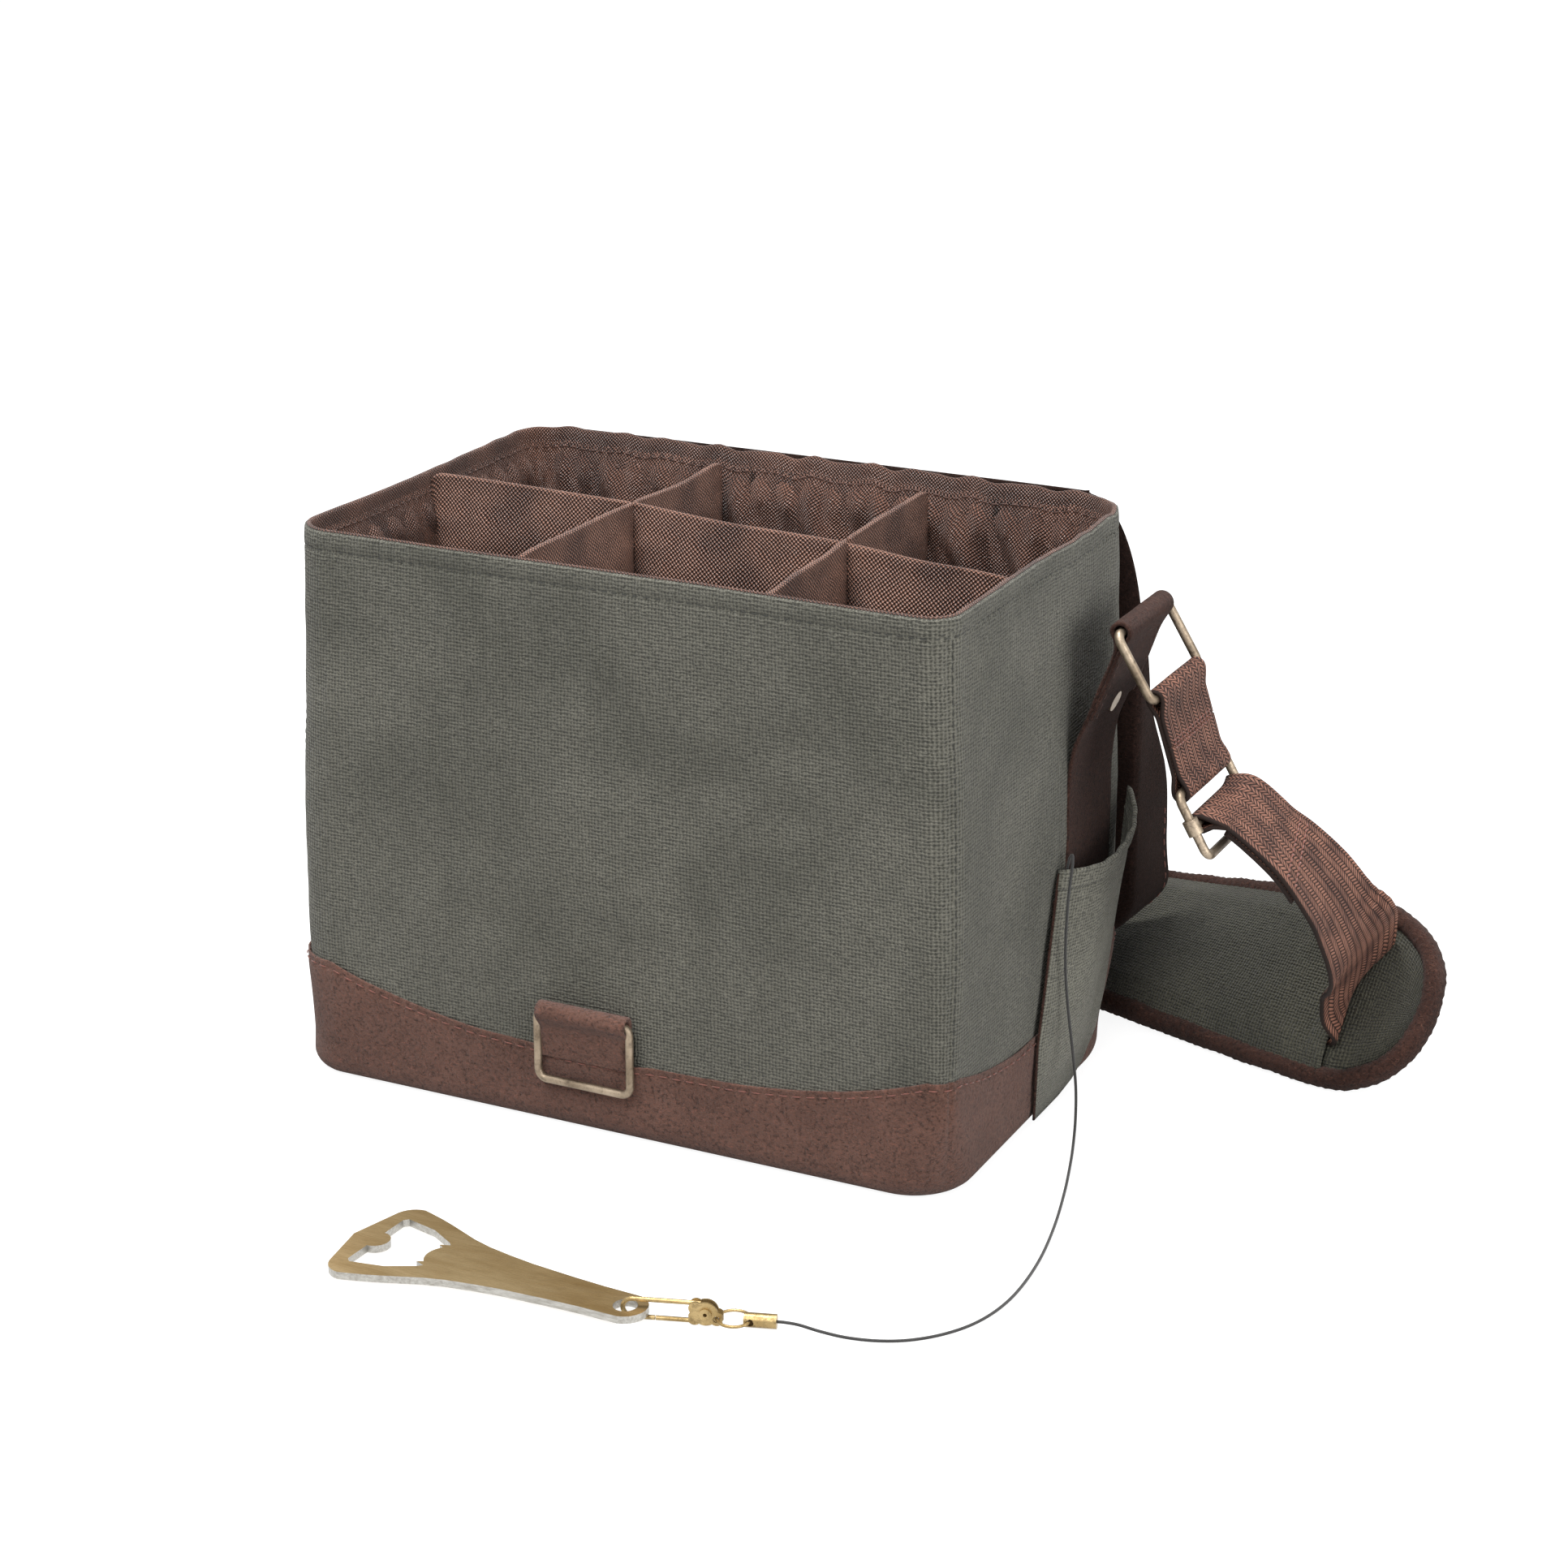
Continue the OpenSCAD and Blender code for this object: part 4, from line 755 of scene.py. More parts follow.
def foam_wall():
    heights = np.linspace(FOAM_LOW, FOAM_HIGH, 12)
    profile = np.array([(z, FOAM_OUTER) for z in heights] + [(z, FOAM_INNER) for z in heights[::-1]])
    z = np.broadcast_to(profile[:, 0], (len(AROUND), len(profile)))
    out = FOAM_FOLLOWS * wall_out(RING, z) - profile[:, 1]
    wall_piece("foam_wall", "foam", "foam", FOAM, profile, z, out)


def lining_gathers(around, drop):
    """Short gathers under the rim stitch that run out into long slanting folds."""
    bend = 1.3 * np.sin(around / 31.0) + 0.5 * ripple(around, drop, 40, 33)
    short = 0.5 + 0.5 * cosine(around + 0.3 * drop, 12.3, bend)
    bend = 1.9 * np.sin(around / 67.0) + 0.8 * ripple(around, drop, 60, 34)
    long = 0.5 + 0.5 * cosine(around + 0.5 * drop, 31.0, bend)
    far = smooth(drop, 13, 36) * (1 - 0.65 * smooth(drop, 70, 150))
    folds = 2.6 * short ** 1.5 * near(drop, 16, 11.0) + 6.0 * long ** 1.8 * far
    folds = folds * (0.5 + 0.8 * near(around / AROUND_TOTAL, 0.6, 0.22))
    return folds + (1.3 * ripple(around, drop * 0.6, 26, 31) + 0.5 * ripple(around, drop, 11, 35)) * far


def lining_walls():
    # Profile: (height below the rim, inset) over the lip, down the wall, under the floor's edge and back up
    face = [(0.2, 0.8), (-0.25, 1.2), (-0.4, 1.9), (-0.2, 2.5), (0.6, 2.9), (3.0, 3.1), (5.0, 3.3),
            (6.6, 3.45), (7.6, 3.85), (8.2, 4.0), (8.8, 3.85), (10, 3.6), (12, 4.2), (14.5, 5.3), (17.5, 6.3)]
    face += [(d, 7.0) for d in np.linspace(20, 226, 70)]
    profile = np.array(face + [
        (228.5, 8.0), (229.3, 10.0), (229.4, 14.0), (230.0, 14.0), (229.9, 9.0), (228, 7.6), (150, 7.5),
        (60, 7.5), (20, 7.5), (12, 4.8), (2.5, 2.6), (0.6, 1.6)])
    drop, inset = profile.T[:, None]
    z = RIM_Z - drop + rim_rise(RING) * smooth(RIM_Z - drop, 150, 239)
    pucker = 0.32 * near(drop, LINING_SEAM, 1.5) * cosine(RING, RIM_PUCKER)
    pinch = 1.6 * seam_dip(0.07) * smooth(drop, 8, 20)
    shaped = pucker - lining_gathers(RING, drop) * smooth(drop, 9, 14) + pinch
    wall = wall_out(RING, z)
    out = wall * (1 - 0.4 * smooth(drop, 10, 30)) - inset + (np.arange(len(profile)) < len(face)) * shaped
    inner = 3.0 * smooth(drop, 15, 20) + 2.3 * smooth(drop, 1, 4) + 0.4
    # The lining stays inside the foam
    out = np.minimum(out, wall * FOAM_FOLLOWS - inner)
    wall_piece("nylon_lining", "lining_walls", "nylon", LINING, profile, z, out)
    z = RIM_Z - LINING_SEAM + rim_rise(AROUND)
    ring_stitches("lining_stitches", z, wall_out(AROUND, z) - 3.75, -1)


def rounded_plan(half_x, half_y, nx, ny, r):
    """A grid over a rectangle, plain and with its corners drawn in to a radius."""
    plain = np.moveaxis(pairs(np.linspace(-half_x, half_x, nx), np.linspace(-half_y, half_y, ny)), -1, 0)
    half = np.array([half_x, half_y])[:, None, None]
    past = np.maximum(np.abs(plain) - half + r, 0)
    over = np.maximum(np.hypot(*past), r) / r
    return plain, np.where(over > 1, np.sign(plain) * (half - r + past / over), plain)


def floor_sheet(name, node, material, slot, r):
    """A flat sheet in a CAD node's box, with rounded corners of radius r."""
    low, high = np.array(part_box(node)) / MM
    size = high - low
    plain, (x, y) = rounded_plan(size[0] / 2, size[1] / 2, 60, 40, r)
    z = (low[2] + high[2]) / 2 + 0.12 * ripple(*plain, 40, 41)
    dress(slab_object(name, np.stack([x, y, z], -1), size[2] - 0.3, material), "tote", slot, node)


foam_wall()
lining_walls()
floor_sheet("nylon_floor", "lining_floor", LINING, "nylon", 16.0)
floor_sheet("foam_pad", "foam_floor", FOAM, "foam", 40.0)
floor_sheet("board", "base_board", BOARD, "board", 36.0)
floor_sheet("suede_bottom", "bottom_panel", SUEDE, "suede", 34.0)


# Dividers: padded pillows between thin sewn seams
DIVIDER_LOW, SEAM_HALF = 11.3, 1.25
DIVIDER_Y, CROSS_LEFT, CROSS_RIGHT = 7.5, -42.0, 56.0
DIVIDER_END_X, DIVIDER_END_Y = 140.0, 87.0
# Height of each divider's top at places along it
LONG_TOP = [(-140, 238.5), (-133, 238.8), (-45, 237.2), (7, 233.6), (50, 232.0), (107, 228.0), (140, 225.0)]
LEFT_TOP = [(-87, 238.0), (-70, 238.2), (-9, 237.6), (10, 236.6), (51, 235.2), (87, 236.2)]
RIGHT_TOP = [(-87, 228.5), (-60, 230.0), (-24, 232.0), (6, 233.6), (40, 235.0), (87, 235.2)]


def pillow(start, end, wall, tops, seed):
    """Points of a padded section along x, standing on the floor at y 0. Its start (-1) or end (1)
    is at the bag's wall."""
    length = end - start
    u = 0.5 - 0.5 * np.cos(np.linspace(0, math.pi, max(int(length / 2.2), 18)))[:, None]
    along = start + length * u
    edge = np.minimum(u, 1 - u) * length
    half = 0.9 + 3.6 * np.sin(np.clip(edge / 17, 0, 1) * math.pi / 2) ** 0.8 + 0.35 * np.sin(math.pi * u)
    top = np.interp(along, *np.array(tops).T) + 0.5 * ripple(along, 0, 48, seed + 9)
    if wall:
        from_wall = np.clip((u if wall < 0 else 1 - u) * length / 6, 0, 1)
        top = top - 5.0 * (1 - np.sqrt(np.clip(1 - (1 - from_wall) ** 2, 0, 1)))
    thin = np.minimum(SEAM_HALF, half)
    z = DIVIDER_LOW + (top - thin - DIVIDER_LOW) * np.linspace(0, 1, 60) ** 0.85
    narrow = 1 - (1 - thin / half) * smooth(z, top - 30, top - 1) ** 1.2
    inner = np.clip(edge / 12, 0, 1) * narrow
    out = half * narrow * (0.75 + 0.25 * smooth(z, DIVIDER_LOW, DIVIDER_LOW + 6))
    at_seam = np.exp(-edge / 7.0) * np.minimum(edge, 1)
    out = out + 0.35 * cosine(z, 9.5, 2.0 * np.sin(z / 23.0)) * at_seam
    # Short creases run down from the top seam
    out = out + 0.3 * cosine(along, 9.0, np.sin(along / 14.0)) * inner * near(z, top - 12, 10)
    left, right = [out + 0.45 * ripple(along, z, 42, seed + k) * inner for k in (0, 1)]
    arc = np.radians(np.linspace(0, 180, 11))[1:-1]
    across = np.concatenate([-left, -thin * np.cos(arc), right[:, ::-1]], 1)
    up = np.concatenate([z, top - thin + thin * np.sin(arc), z[:, ::-1]], 1)
    return np.stack([along + 0 * across, across, up], -1)


def dividers():
    gap, slit = 1.3, 0.4
    long = [pillow(*cut, LONG_TOP, 50 + 3 * i) + [0, DIVIDER_Y, 0] for i, cut in enumerate((
        (-DIVIDER_END_X, CROSS_LEFT - slit, -1), (CROSS_LEFT + slit, CROSS_RIGHT - slit, 0),
        (CROSS_RIGHT + slit, DIVIDER_END_X, 1)))]
    pieces = [("long", "long", long)]
    for side, place, tops, seed in (("left", CROSS_LEFT, LEFT_TOP, 81),
                                    ("right", CROSS_RIGHT, RIGHT_TOP, 70)):
        cross = [pillow(*cut, tops, seed + 5 * i) for i, cut in enumerate((
            (-DIVIDER_END_Y, DIVIDER_Y - gap, -1), (DIVIDER_Y + gap, DIVIDER_END_Y, 1)))]
        cross = [np.stack([place - grid[..., 1], grid[..., 0], grid[..., 2]], -1) for grid in cross]
        pieces.append((side, "cross_" + side, cross))
    for name, node, grids in pieces:
        piece = joined_lofts("divider_pad_" + name, grids, PADDED)
        dress(piece, "dividers", "nylon", "divider_" + node)


dividers()


# Lid: a fan of cloth from the hinge seam to the lip, then down the skirt, folded back behind the bag
HINGE_Y, HINGE_Z = 99.9, 240.3
SUEDE_T = 1.2
LID_HALF, LID_FRONT, LID_BACK = 150.6, -99.4, 97.5
LID_FRONT_R, LID_BACK_R, LID_TAPER, LID_EDGE_R = 20.0, 26.0, 70.0, 2.6
LID_TOP = HINGE_Z + 1.1
# Depth of the skirt at distances behind the lip
SKIRT = ([0, 12, 18, 43, 76, 109, 150, 200], [42.8, 43.8, 41.8, 37.4, 25.8, 10.8, 0.2, 0.0])
LID_PAD_HALF_X, LID_PAD_HALF_Y = 131.9, 79.0


def lid_to_rest(x, y, z):
    """Closed place to the place at rest, turned back about the hinge seam."""
    return np.stack([x, HINGE_Y - (z - HINGE_Z), HINGE_Z + (y - HINGE_Y)], -1)


def lid_wave(x, y):
    """How far the lid's cloth stands off the bag: soft upright folds that grow to the lip."""
    folds = 0.2 + 0.35 * ripple(x, y * 0.25, 60, 81) + 0.2 * ripple(x, y * 0.3, 28, 82)
    return smooth(HINGE_Y - y, 8, 150) * folds


def lid_outline():
    """Plan of the lid closed, from the left hinge end round the front to the right hinge end."""
    w, r, q = LID_HALF, LID_FRONT_R, LID_BACK_R
    back = [(-w + q - q * math.sin(a), LID_BACK - LID_TAPER * (1 - math.cos(a)))
            for a in np.radians(np.linspace(0, 90, 30))]
    left = [(-w, y) for y in np.linspace(LID_BACK - LID_TAPER, LID_FRONT + r, 45)[1:-1]]
    corner = [(-w + r + r * math.cos(a), LID_FRONT + r + r * math.sin(a))
              for a in np.radians(np.linspace(180, 270, 22))]
    half = back + left + corner + [(x, LID_FRONT) for x in np.linspace(-w + r, 0, 50)[1:-1]]
    return np.array(half + [(0, LID_FRONT)] + [(-x, y) for x, y in half[::-1]])


def lid_skin():
    outline = lid_outline()
    run = lengths_along(outline)
    depth = np.interp(outline[:, 1] - LID_FRONT, *SKIRT)
    hinge_x = (LID_HALF - LID_BACK_R) * (2 * run / run[-1] - 1)
    hinge = np.column_stack([hinge_x, np.full(len(run), HINGE_Y - 0.9)])
    inward = hinge - outline
    edge = outline + unit(inward) * np.minimum(3.4, 0.6 * np.linalg.norm(inward, axis=1))[:, None]
    panel = hinge + (edge - hinge) * np.linspace(0, 1, 60)[:, None, None] ** 0.9
    outward = np.column_stack([np.gradient(outline[:, 1]), -np.gradient(outline[:, 0])])
    outward = unit(outward) * np.sign((outward * (outline - [0, 20])).sum(1))[:, None]
    turn = LID_EDGE_R * np.minimum(1, depth / 4)
    rows = [np.column_stack([place, np.full(len(run), LID_TOP)]) for place in panel]
    for a in np.radians([30, 60, 90]):
        rows.append(np.column_stack([outline - outward * LID_EDGE_R * (1 - math.sin(a)),
                                     LID_TOP - turn * (1 - math.cos(a))]))
    for s in np.linspace(0.04, 1, 22):
        bend = (1.7 + ripple(run, s * 30.0, 46, 84)) * s * np.minimum(1, depth / 20)
        rows.append(np.column_stack([outline + outward * bend[:, None], LID_TOP - turn - (depth - turn) * s]))
    x, y, z = np.moveaxis(np.array(rows), -1, 0)
    rest = lid_to_rest(x, y, z - lid_wave(x, y) * (1 - 0.5 * smooth(HINGE_Z - z, 2, 30)))
    # The lid's darker suede is painted shade
    skin = dress(slab_object("lid_suede", rest, SUEDE_T, SUEDE_LID_SHADED), "lid", "suede", "lid_skin")
    # A topstitch follows the lip's free edge
    low, normal = rest[-3, 60:-60], surface_normals(rest)[-3, 60:-60]
    normal = normal * np.where((normal * (low - [0, 60, 150])).sum(1)[:, None] > 0, 1, -1)
    stitches("lid_stitches", low + normal * SUEDE_T / 2, normal)


def lid_padding():
    _, (x, y) = rounded_plan(LID_PAD_HALF_X, LID_PAD_HALF_Y, 90, 60, 16.0)
    edge = np.minimum(LID_PAD_HALF_X - np.abs(x), LID_PAD_HALF_Y - np.abs(y))
    crown = 1.3 + 1.7 * np.sin(np.clip(edge / 34, 0, 1) * math.pi / 2) + 0.3 * ripple(x, y, 50, 91)
    rest = lid_to_rest(x, y, HINGE_Z + 0.4 - crown / 2 - lid_wave(x, y))
    dress(slab_object("lid_pad", rest, crown, PADDED), "lid", "nylon", "lid_padding")


CLOSURE_X, CLOSURE_Y, CLOSURE_Z, CLOSURE_FALL = -8.2, 146.2, 42.4, 15.85
CLOSURE_L, CLOSURE_W, CLOSURE_T, CLOSURE_SEAM = 156.0, 37.0, 1.6, 3.2


def strap_frame(path, across):
    """Width directions kept square to the path, and the normals."""
    t = tangents(path)
    across = unit(across - (across * t).sum(1)[:, None] * t)
    return across, unit(np.cross(t, across))


def strip_object(name, path, across, half, thickness, material, columns, wave, seed, step, cup=0.0):
    """A flat strip about a path: half its width along across, slightly cupped and rippled."""
    path, across = resample(path, step, across if np.ndim(across) > 1 else rows_of(across, len(path)))
    across, up = strap_frame(path, unit(across))
    v = np.linspace(-1, 1, columns)
    shape = cup * v ** 4 + wave * ripple(lengths_along(path)[:, None], v * half, 26, seed)
    grid = path[:, None] + across[:, None] * (v * half)[None, :, None] + up[:, None] * shape[..., None]
    return slab_object(name, grid, thickness, material), path, across, up


def closure_strap():
    fall = math.radians(CLOSURE_FALL)
    s = np.linspace(0, 1, 60)
    y = CLOSURE_Y + 0.4 + (CLOSURE_L - 0.6) * s * math.cos(fall)
    z = CLOSURE_Z - CLOSURE_L * s * math.sin(fall) - 1.2 * np.sin(math.pi * s) * s
    path = np.column_stack([np.full(len(s), CLOSURE_X), y, np.maximum(z, 1.0)])
    strap, path, across, up = strip_object("closure_suede", path, (-1, 0, 0), CLOSURE_W / 2, CLOSURE_T, SUEDE,
                                           columns=17, wave=0.15, seed=95, step=2.0, cup=0.3)
    dress(strap, "closure", "suede", "closure_strap")
    for side, name in ((-1, "a"), (1, "b")):
        line = path + across * side * (CLOSURE_W / 2 - CLOSURE_SEAM) + up * (CLOSURE_T / 2 + 0.15)
        stitches("closure_stitches_" + name, line, up)


lid_skin()
lid_padding()
closure_strap()


# Front tab: a fold of suede round the ring's bar
FRONT_BAR = (102.0, 53.5)
TAB_T = 1.9


def round_bar(centre, radius, first, last, steps=14):
    """Points round a bar from one angle to another, as (out, up)."""
    a = np.radians(np.linspace(first, last, steps))
    return np.column_stack([centre[0] + radius * np.cos(a), centre[1] + radius * np.sin(a)])


def front_tab():
    # Drawn as (distance in front of the bag's middle, height), from the hidden layer over the bar
    line = catmull(np.vstack([[(99.45, 33.5), (99.45, 40), (99.4, 47)], round_bar(FRONT_BAR, 3.3, 186, -34),
                              [(102.2, 48.2), (101.5, 45.2), (101.1, 41), (100.6, 33.5)]]), 3)
    path = np.column_stack([np.full(len(line), TAB_X), -line[:, 0], line[:, 1]])
    tab = strip_object("front_tab_suede", path, (1, 0, 0), TAB_W / 2, TAB_T, SUEDE,
                       columns=19, wave=0.1, seed=97, step=0.7)[0]
    dress(tab, "tote", "suede", "front_tab")


front_tab()


# Side straps: up the wall, out round the ring's bar and back down
SIDE_Y = 40.0
SIDE_FOOT, SIDE_BAR = np.array([150.3, 148.8]), np.array([171.3, 207.0])
STRAP_T, STRAP_HALF, STRAP_SEAM = 1.6, 24.0, 3.2


def at_side(line, sign=1):
    """Points (x, z) in the upright plane through the middle of the side straps."""
    return np.column_stack([sign * line[:, 0], np.full(len(line), SIDE_Y), line[:, 1]])


def side_strap(side, sign):
    lean = unit(SIDE_BAR - SIDE_FOOT)
    out = np.array([lean[1], -lean[0]])
    length = math.dist(SIDE_BAR, SIDE_FOOT)
    degrees = math.degrees(math.atan2(*lean))
    line = catmull(np.vstack([
        [(SIDE_FOOT[0] + 0.85, z) for z in (54.5, 75, 100, 120, 138)],
        [SIDE_FOOT + lean * s + out * 0.85 for s in (6, 20, 34, length - 8)],
        round_bar(SIDE_BAR, 4.0, 192 - degrees, -degrees - 20, 16),
        [SIDE_FOOT + lean * (length - s) + out * 2.5 for s in (9, 18, 30, 39)]]), 4)
    strap, path, across, up = strip_object("side_strap_suede_" + side, at_side(line, sign), (0, sign, 0),
                                           STRAP_HALF, STRAP_T, SUEDE_DARK,
                                           columns=25, wave=0.15, seed=98, step=1.0)
    dress(strap, "tote", "suede", "side_strap_" + side)
    run = lengths_along(path)
    outer = run > run[-1] - 33
    way = up[outer] * np.sign((up[outer] * [sign, 0, -0.4]).sum(1))[:, None]
    for edge, name in ((-1, "a"), (1, "b")):
        line = path[outer] + across[outer] * edge * (STRAP_HALF - STRAP_SEAM) + way * (STRAP_T / 2)
        stitches("strap_stitches_%s_%s" % (side, name), line, way)


side_strap("right", 1)
side_strap("left", -1)


# Webbing: bands with their own cloth coordinates for the herringbone weave
RING_BAR, SLIDER_BAR, MID_BAR = (186.8, 181.8), (199.3, 144.3), (206.05, 132.6)
WEB_HALF, WEB_T = 24.5, 2.0
# The bands are drawn a little thinner than the webbing's height, so that layers don't touch
WEB_DRAWN_T, CONNECTOR_DRAWN_T = 1.9, 1.7


def connector_webbing():
    a, b = np.array(RING_BAR), np.array(SLIDER_BAR)
    axis, length = unit(b - a), math.dist(a, b)
    side = np.array([-axis[1], axis[0]])
    turn = math.degrees(math.atan2(side[1], side[0]))

    def layer(first, last, steps, face):
        """One layer of the band, which spreads at the bars."""
        s = np.linspace(first, last, steps)[:, None]
        return a + axis * s + side * face * (3.05 - 2.1 * smooth(np.minimum(s, length - s), 0.5, 8.5))

    line = np.vstack([layer(length / 2, 1.5, 10, 1), round_bar(a, 3.15, turn, turn + 180, 15),
                      layer(1.5, length - 1.5, 20, -1), round_bar(b, 3.15, turn + 180, turn + 360, 15),
                      layer(length - 1.5, length / 2 + 0.8, 10, 1)])
    web = strip_object("connector_web", at_side(line), (0, 1, 0), WEB_HALF, CONNECTOR_DRAWN_T, WEBBING,
                       columns=30, wave=0.12, seed=101, step=1.0)[0]
    dress(web, "connector", "webbing", "connector_webbing")
    # Three rows of close stitches on each face hold the two layers together
    for face, face_name in ((-1, "a"), (1, "b")):
        way = (-side[0] * face, 0, -side[1] * face)
        for row, name in ((-1.6, "a"), (0.0, "b"), (1.6, "c")):
            x, z = (a + b) / 2 + axis * row - side * face * 1.9
            line = [(x, SIDE_Y - 22.5, z), (x, SIDE_Y + 22.5, z)]
            stitches("connector_tack_%s_%s" % (face_name, name), line, rows_of(way, 2))


connector_webbing()


# Shoulder pad: its stations repeat the CAD's, as (share of the shell's length, share of its depth,
# share of the pad's width, tilt in degrees)
SHELL = np.array([300.0, 194.0, 240.0])
PAD_SHARES = [
    (0.07, 0.850, 0.10, 12), (0.083, 0.850, 0.55, 12), (0.115, 0.848, 0.83, 13), (0.155, 0.845, 1, 14),
    (0.25, 0.835, 1, 17), (0.36, 0.80, 1, 21), (0.47, 0.745, 1, 27), (0.57, 0.675, 1, 35),
    (0.67, 0.605, 1, 43), (0.76, 0.548, 1, 49), (0.84, 0.51, 1, 52), (0.88, 0.497, 0.92, 52),
    (0.915, 0.485, 0.72, 52), (0.94, 0.476, 0.42, 52), (0.948, 0.473, 0.10, 52)]
PAD_W, PAD_T, BINDING_D = 80.0, 9.0, 7.0
PAD_HALF = PAD_W / 2 - BINDING_D / 2
RIM_OUT = 0.28 * BINDING_D
BINDING_T = PAD_T / 2 + SUEDE_T
SOFT_GAP = 0.3
WEB_LEVEL = PAD_T / 2 + SOFT_GAP
COVER_LEVEL = WEB_LEVEL + WEB_T + SOFT_GAP
PAD_STEPS = 9


def pad_frames():
    """Centre, width direction, normal and half width of the pad at fine stations."""
    fine = catmull(PAD_SHARES, PAD_STEPS)
    tilt = np.radians(fine[:, 3])
    lift = np.hypot(BINDING_D / 2 * np.sin(tilt), BINDING_T * np.cos(tilt))
    z = SOFT_GAP + lift + (PAD_HALF + RIM_OUT) * np.sin(tilt)
    centre = np.column_stack([fine[:, :2] * SHELL[:2], z])
    t = tangents(centre * [1, 1, 0])
    across = np.column_stack([-t[:, 1] * np.cos(tilt), t[:, 0] * np.cos(tilt), np.sin(tilt)])
    return centre, across, unit(np.cross(tangents(centre), across)), PAD_HALF * fine[:, 2]


PAD_C, PAD_A, PAD_N, PAD_R = pad_frames()
PAD_RUN = lengths_along(PAD_C)


def pad_points(part, across, up):
    """Points over the pad's middle sheet, for stations and places across it."""
    return PAD_C[part, None] + PAD_A[part, None] * across[..., None] + PAD_N[part, None] * up[..., None]


def signed_power(v, e):
    return np.sign(v) * np.abs(v) ** e


def pad_base():
    run = np.linalg.norm(np.gradient(PAD_C, axis=0), axis=1)
    slope = np.hypot(run, np.gradient(PAD_R)) / run
    part = slice(PAD_STEPS - 2, len(PAD_C) - PAD_STEPS + 2)
    half = np.maximum(PAD_R + RIM_OUT - (BINDING_D / 2 + 0.1) * slope, 1.5)[part, None]
    a = np.radians(np.arange(0, 360, 7.5))
    across = signed_power(np.cos(a), 0.75) * half
    thinned = 0.62 + 0.38 * np.minimum(1, PAD_R[part, None] / PAD_HALF)
    up = signed_power(np.sin(a), 0.75) * PAD_T / 2 * thinned
    dent = 0.25 * ripple(PAD_RUN[part, None], across, 30, 111) * np.sin(a)
    # The pad's darker canvas is painted shade
    base = joined_lofts("pad_foam_base", [pad_points(part, across, up + dent)], CANVAS_PAD_SHADED)
    dress(base, "shoulder_strap", "canvas", "pad_base")


def pad_binding():
    rim = np.maximum(PAD_R + RIM_OUT - 0.8, 0.5)[:, None]
    loop = np.concatenate([PAD_C - PAD_A * rim, (PAD_C + PAD_A * rim)[::-1]])
    loop, up = resample(closed(loop), 1.6, closed(np.concatenate([PAD_N, PAD_N[::-1]])))
    loop, up = loop[:-1], unit(up[:-1])
    t = unit(np.roll(loop, -1, 0) - np.roll(loop, 1, 0))
    out = unit(np.cross(t, up))
    a = np.radians(np.arange(0, 360, 22.5))
    run = lengths_along(closed(loop))[:-1]
    ruck = 1 + 0.05 * cosine(run[:, None], 4.1, 1.5 * np.sin(a)) \
        + 0.05 * ripple(run[:, None], np.degrees(a) * 0.1, 18, 121)
    # A flattened fold that rucks along its run
    wide = 4.3 * signed_power(np.cos(a), 0.9) * ruck
    tall = BINDING_T * signed_power(np.sin(a), 0.85) * ruck
    grid = loop[:, None] + out[:, None] * wide[..., None] + np.cross(out, t)[:, None] * tall[..., None]
    uv = pairs(np.append(run, run[-1] + 1.6), np.linspace(0, 28, len(a) + 1))
    binding = grid_object("pad_binding_suede", grid, SUEDE_DARK, uv, wrap_u=True)
    dress(binding, "shoulder_strap", "suede", "pad_binding")


COVER_PART = slice(2 * PAD_STEPS, 10 * PAD_STEPS + 1)
COVER_RIM, COVER_HEM, COVER_T = 4.0, 7.6, 1.3


def pad_cover():
    v = np.linspace(-1, 1, 61)
    along, reach = PAD_RUN[COVER_PART, None], PAD_R[COVER_PART, None] - SOFT_GAP
    across = v * reach
    from_end = np.minimum(along[-1] - along, along - along[0])
    flat, level = WEB_HALF + 1.0, COVER_LEVEL + 0.7
    share = np.clip((np.abs(across) - flat) / (reach - flat), 0, 1)
    crown = 0.9 * np.exp(-(across / 21.0) ** 4) * np.minimum(1, from_end / 25)
    wave = 0.4 * ripple(along, across, 34, 131) + 0.18 * ripple(along, across, 13, 132)
    wave = wave * (1 - np.abs(v) ** 6)
    hem = 0.45 * np.exp(-(np.maximum(from_end - 4.5, 0) / 3.5) ** 4) - 0.5 * near(from_end, COVER_HEM, 1.2)
    up = level - (level - COVER_RIM) * share ** 1.3 + crown + np.maximum(wave, -0.3) + hem
    grid = pad_points(COVER_PART, across, up)
    # The cover's darker canvas is painted shade
    cover = slab_object("pad_cover_canvas", grid, COVER_T, CANVAS_PAD_SHADED)
    dress(cover, "shoulder_strap", "canvas", "pad_cover")
    normals = surface_normals(grid)
    normals = normals * np.sign((normals * PAD_N[COVER_PART, None]).sum(-1))[..., None]
    for name, target in (("right", along[-1] - COVER_HEM), ("left", along[0] + COVER_HEM)):
        row = int(np.argmin(np.abs(along[:, 0] - target)))
        stitches("cover_stitches_" + name, grid[row] + normals[row] * 0.6, normals[row])


pad_base()
pad_binding()
pad_cover()


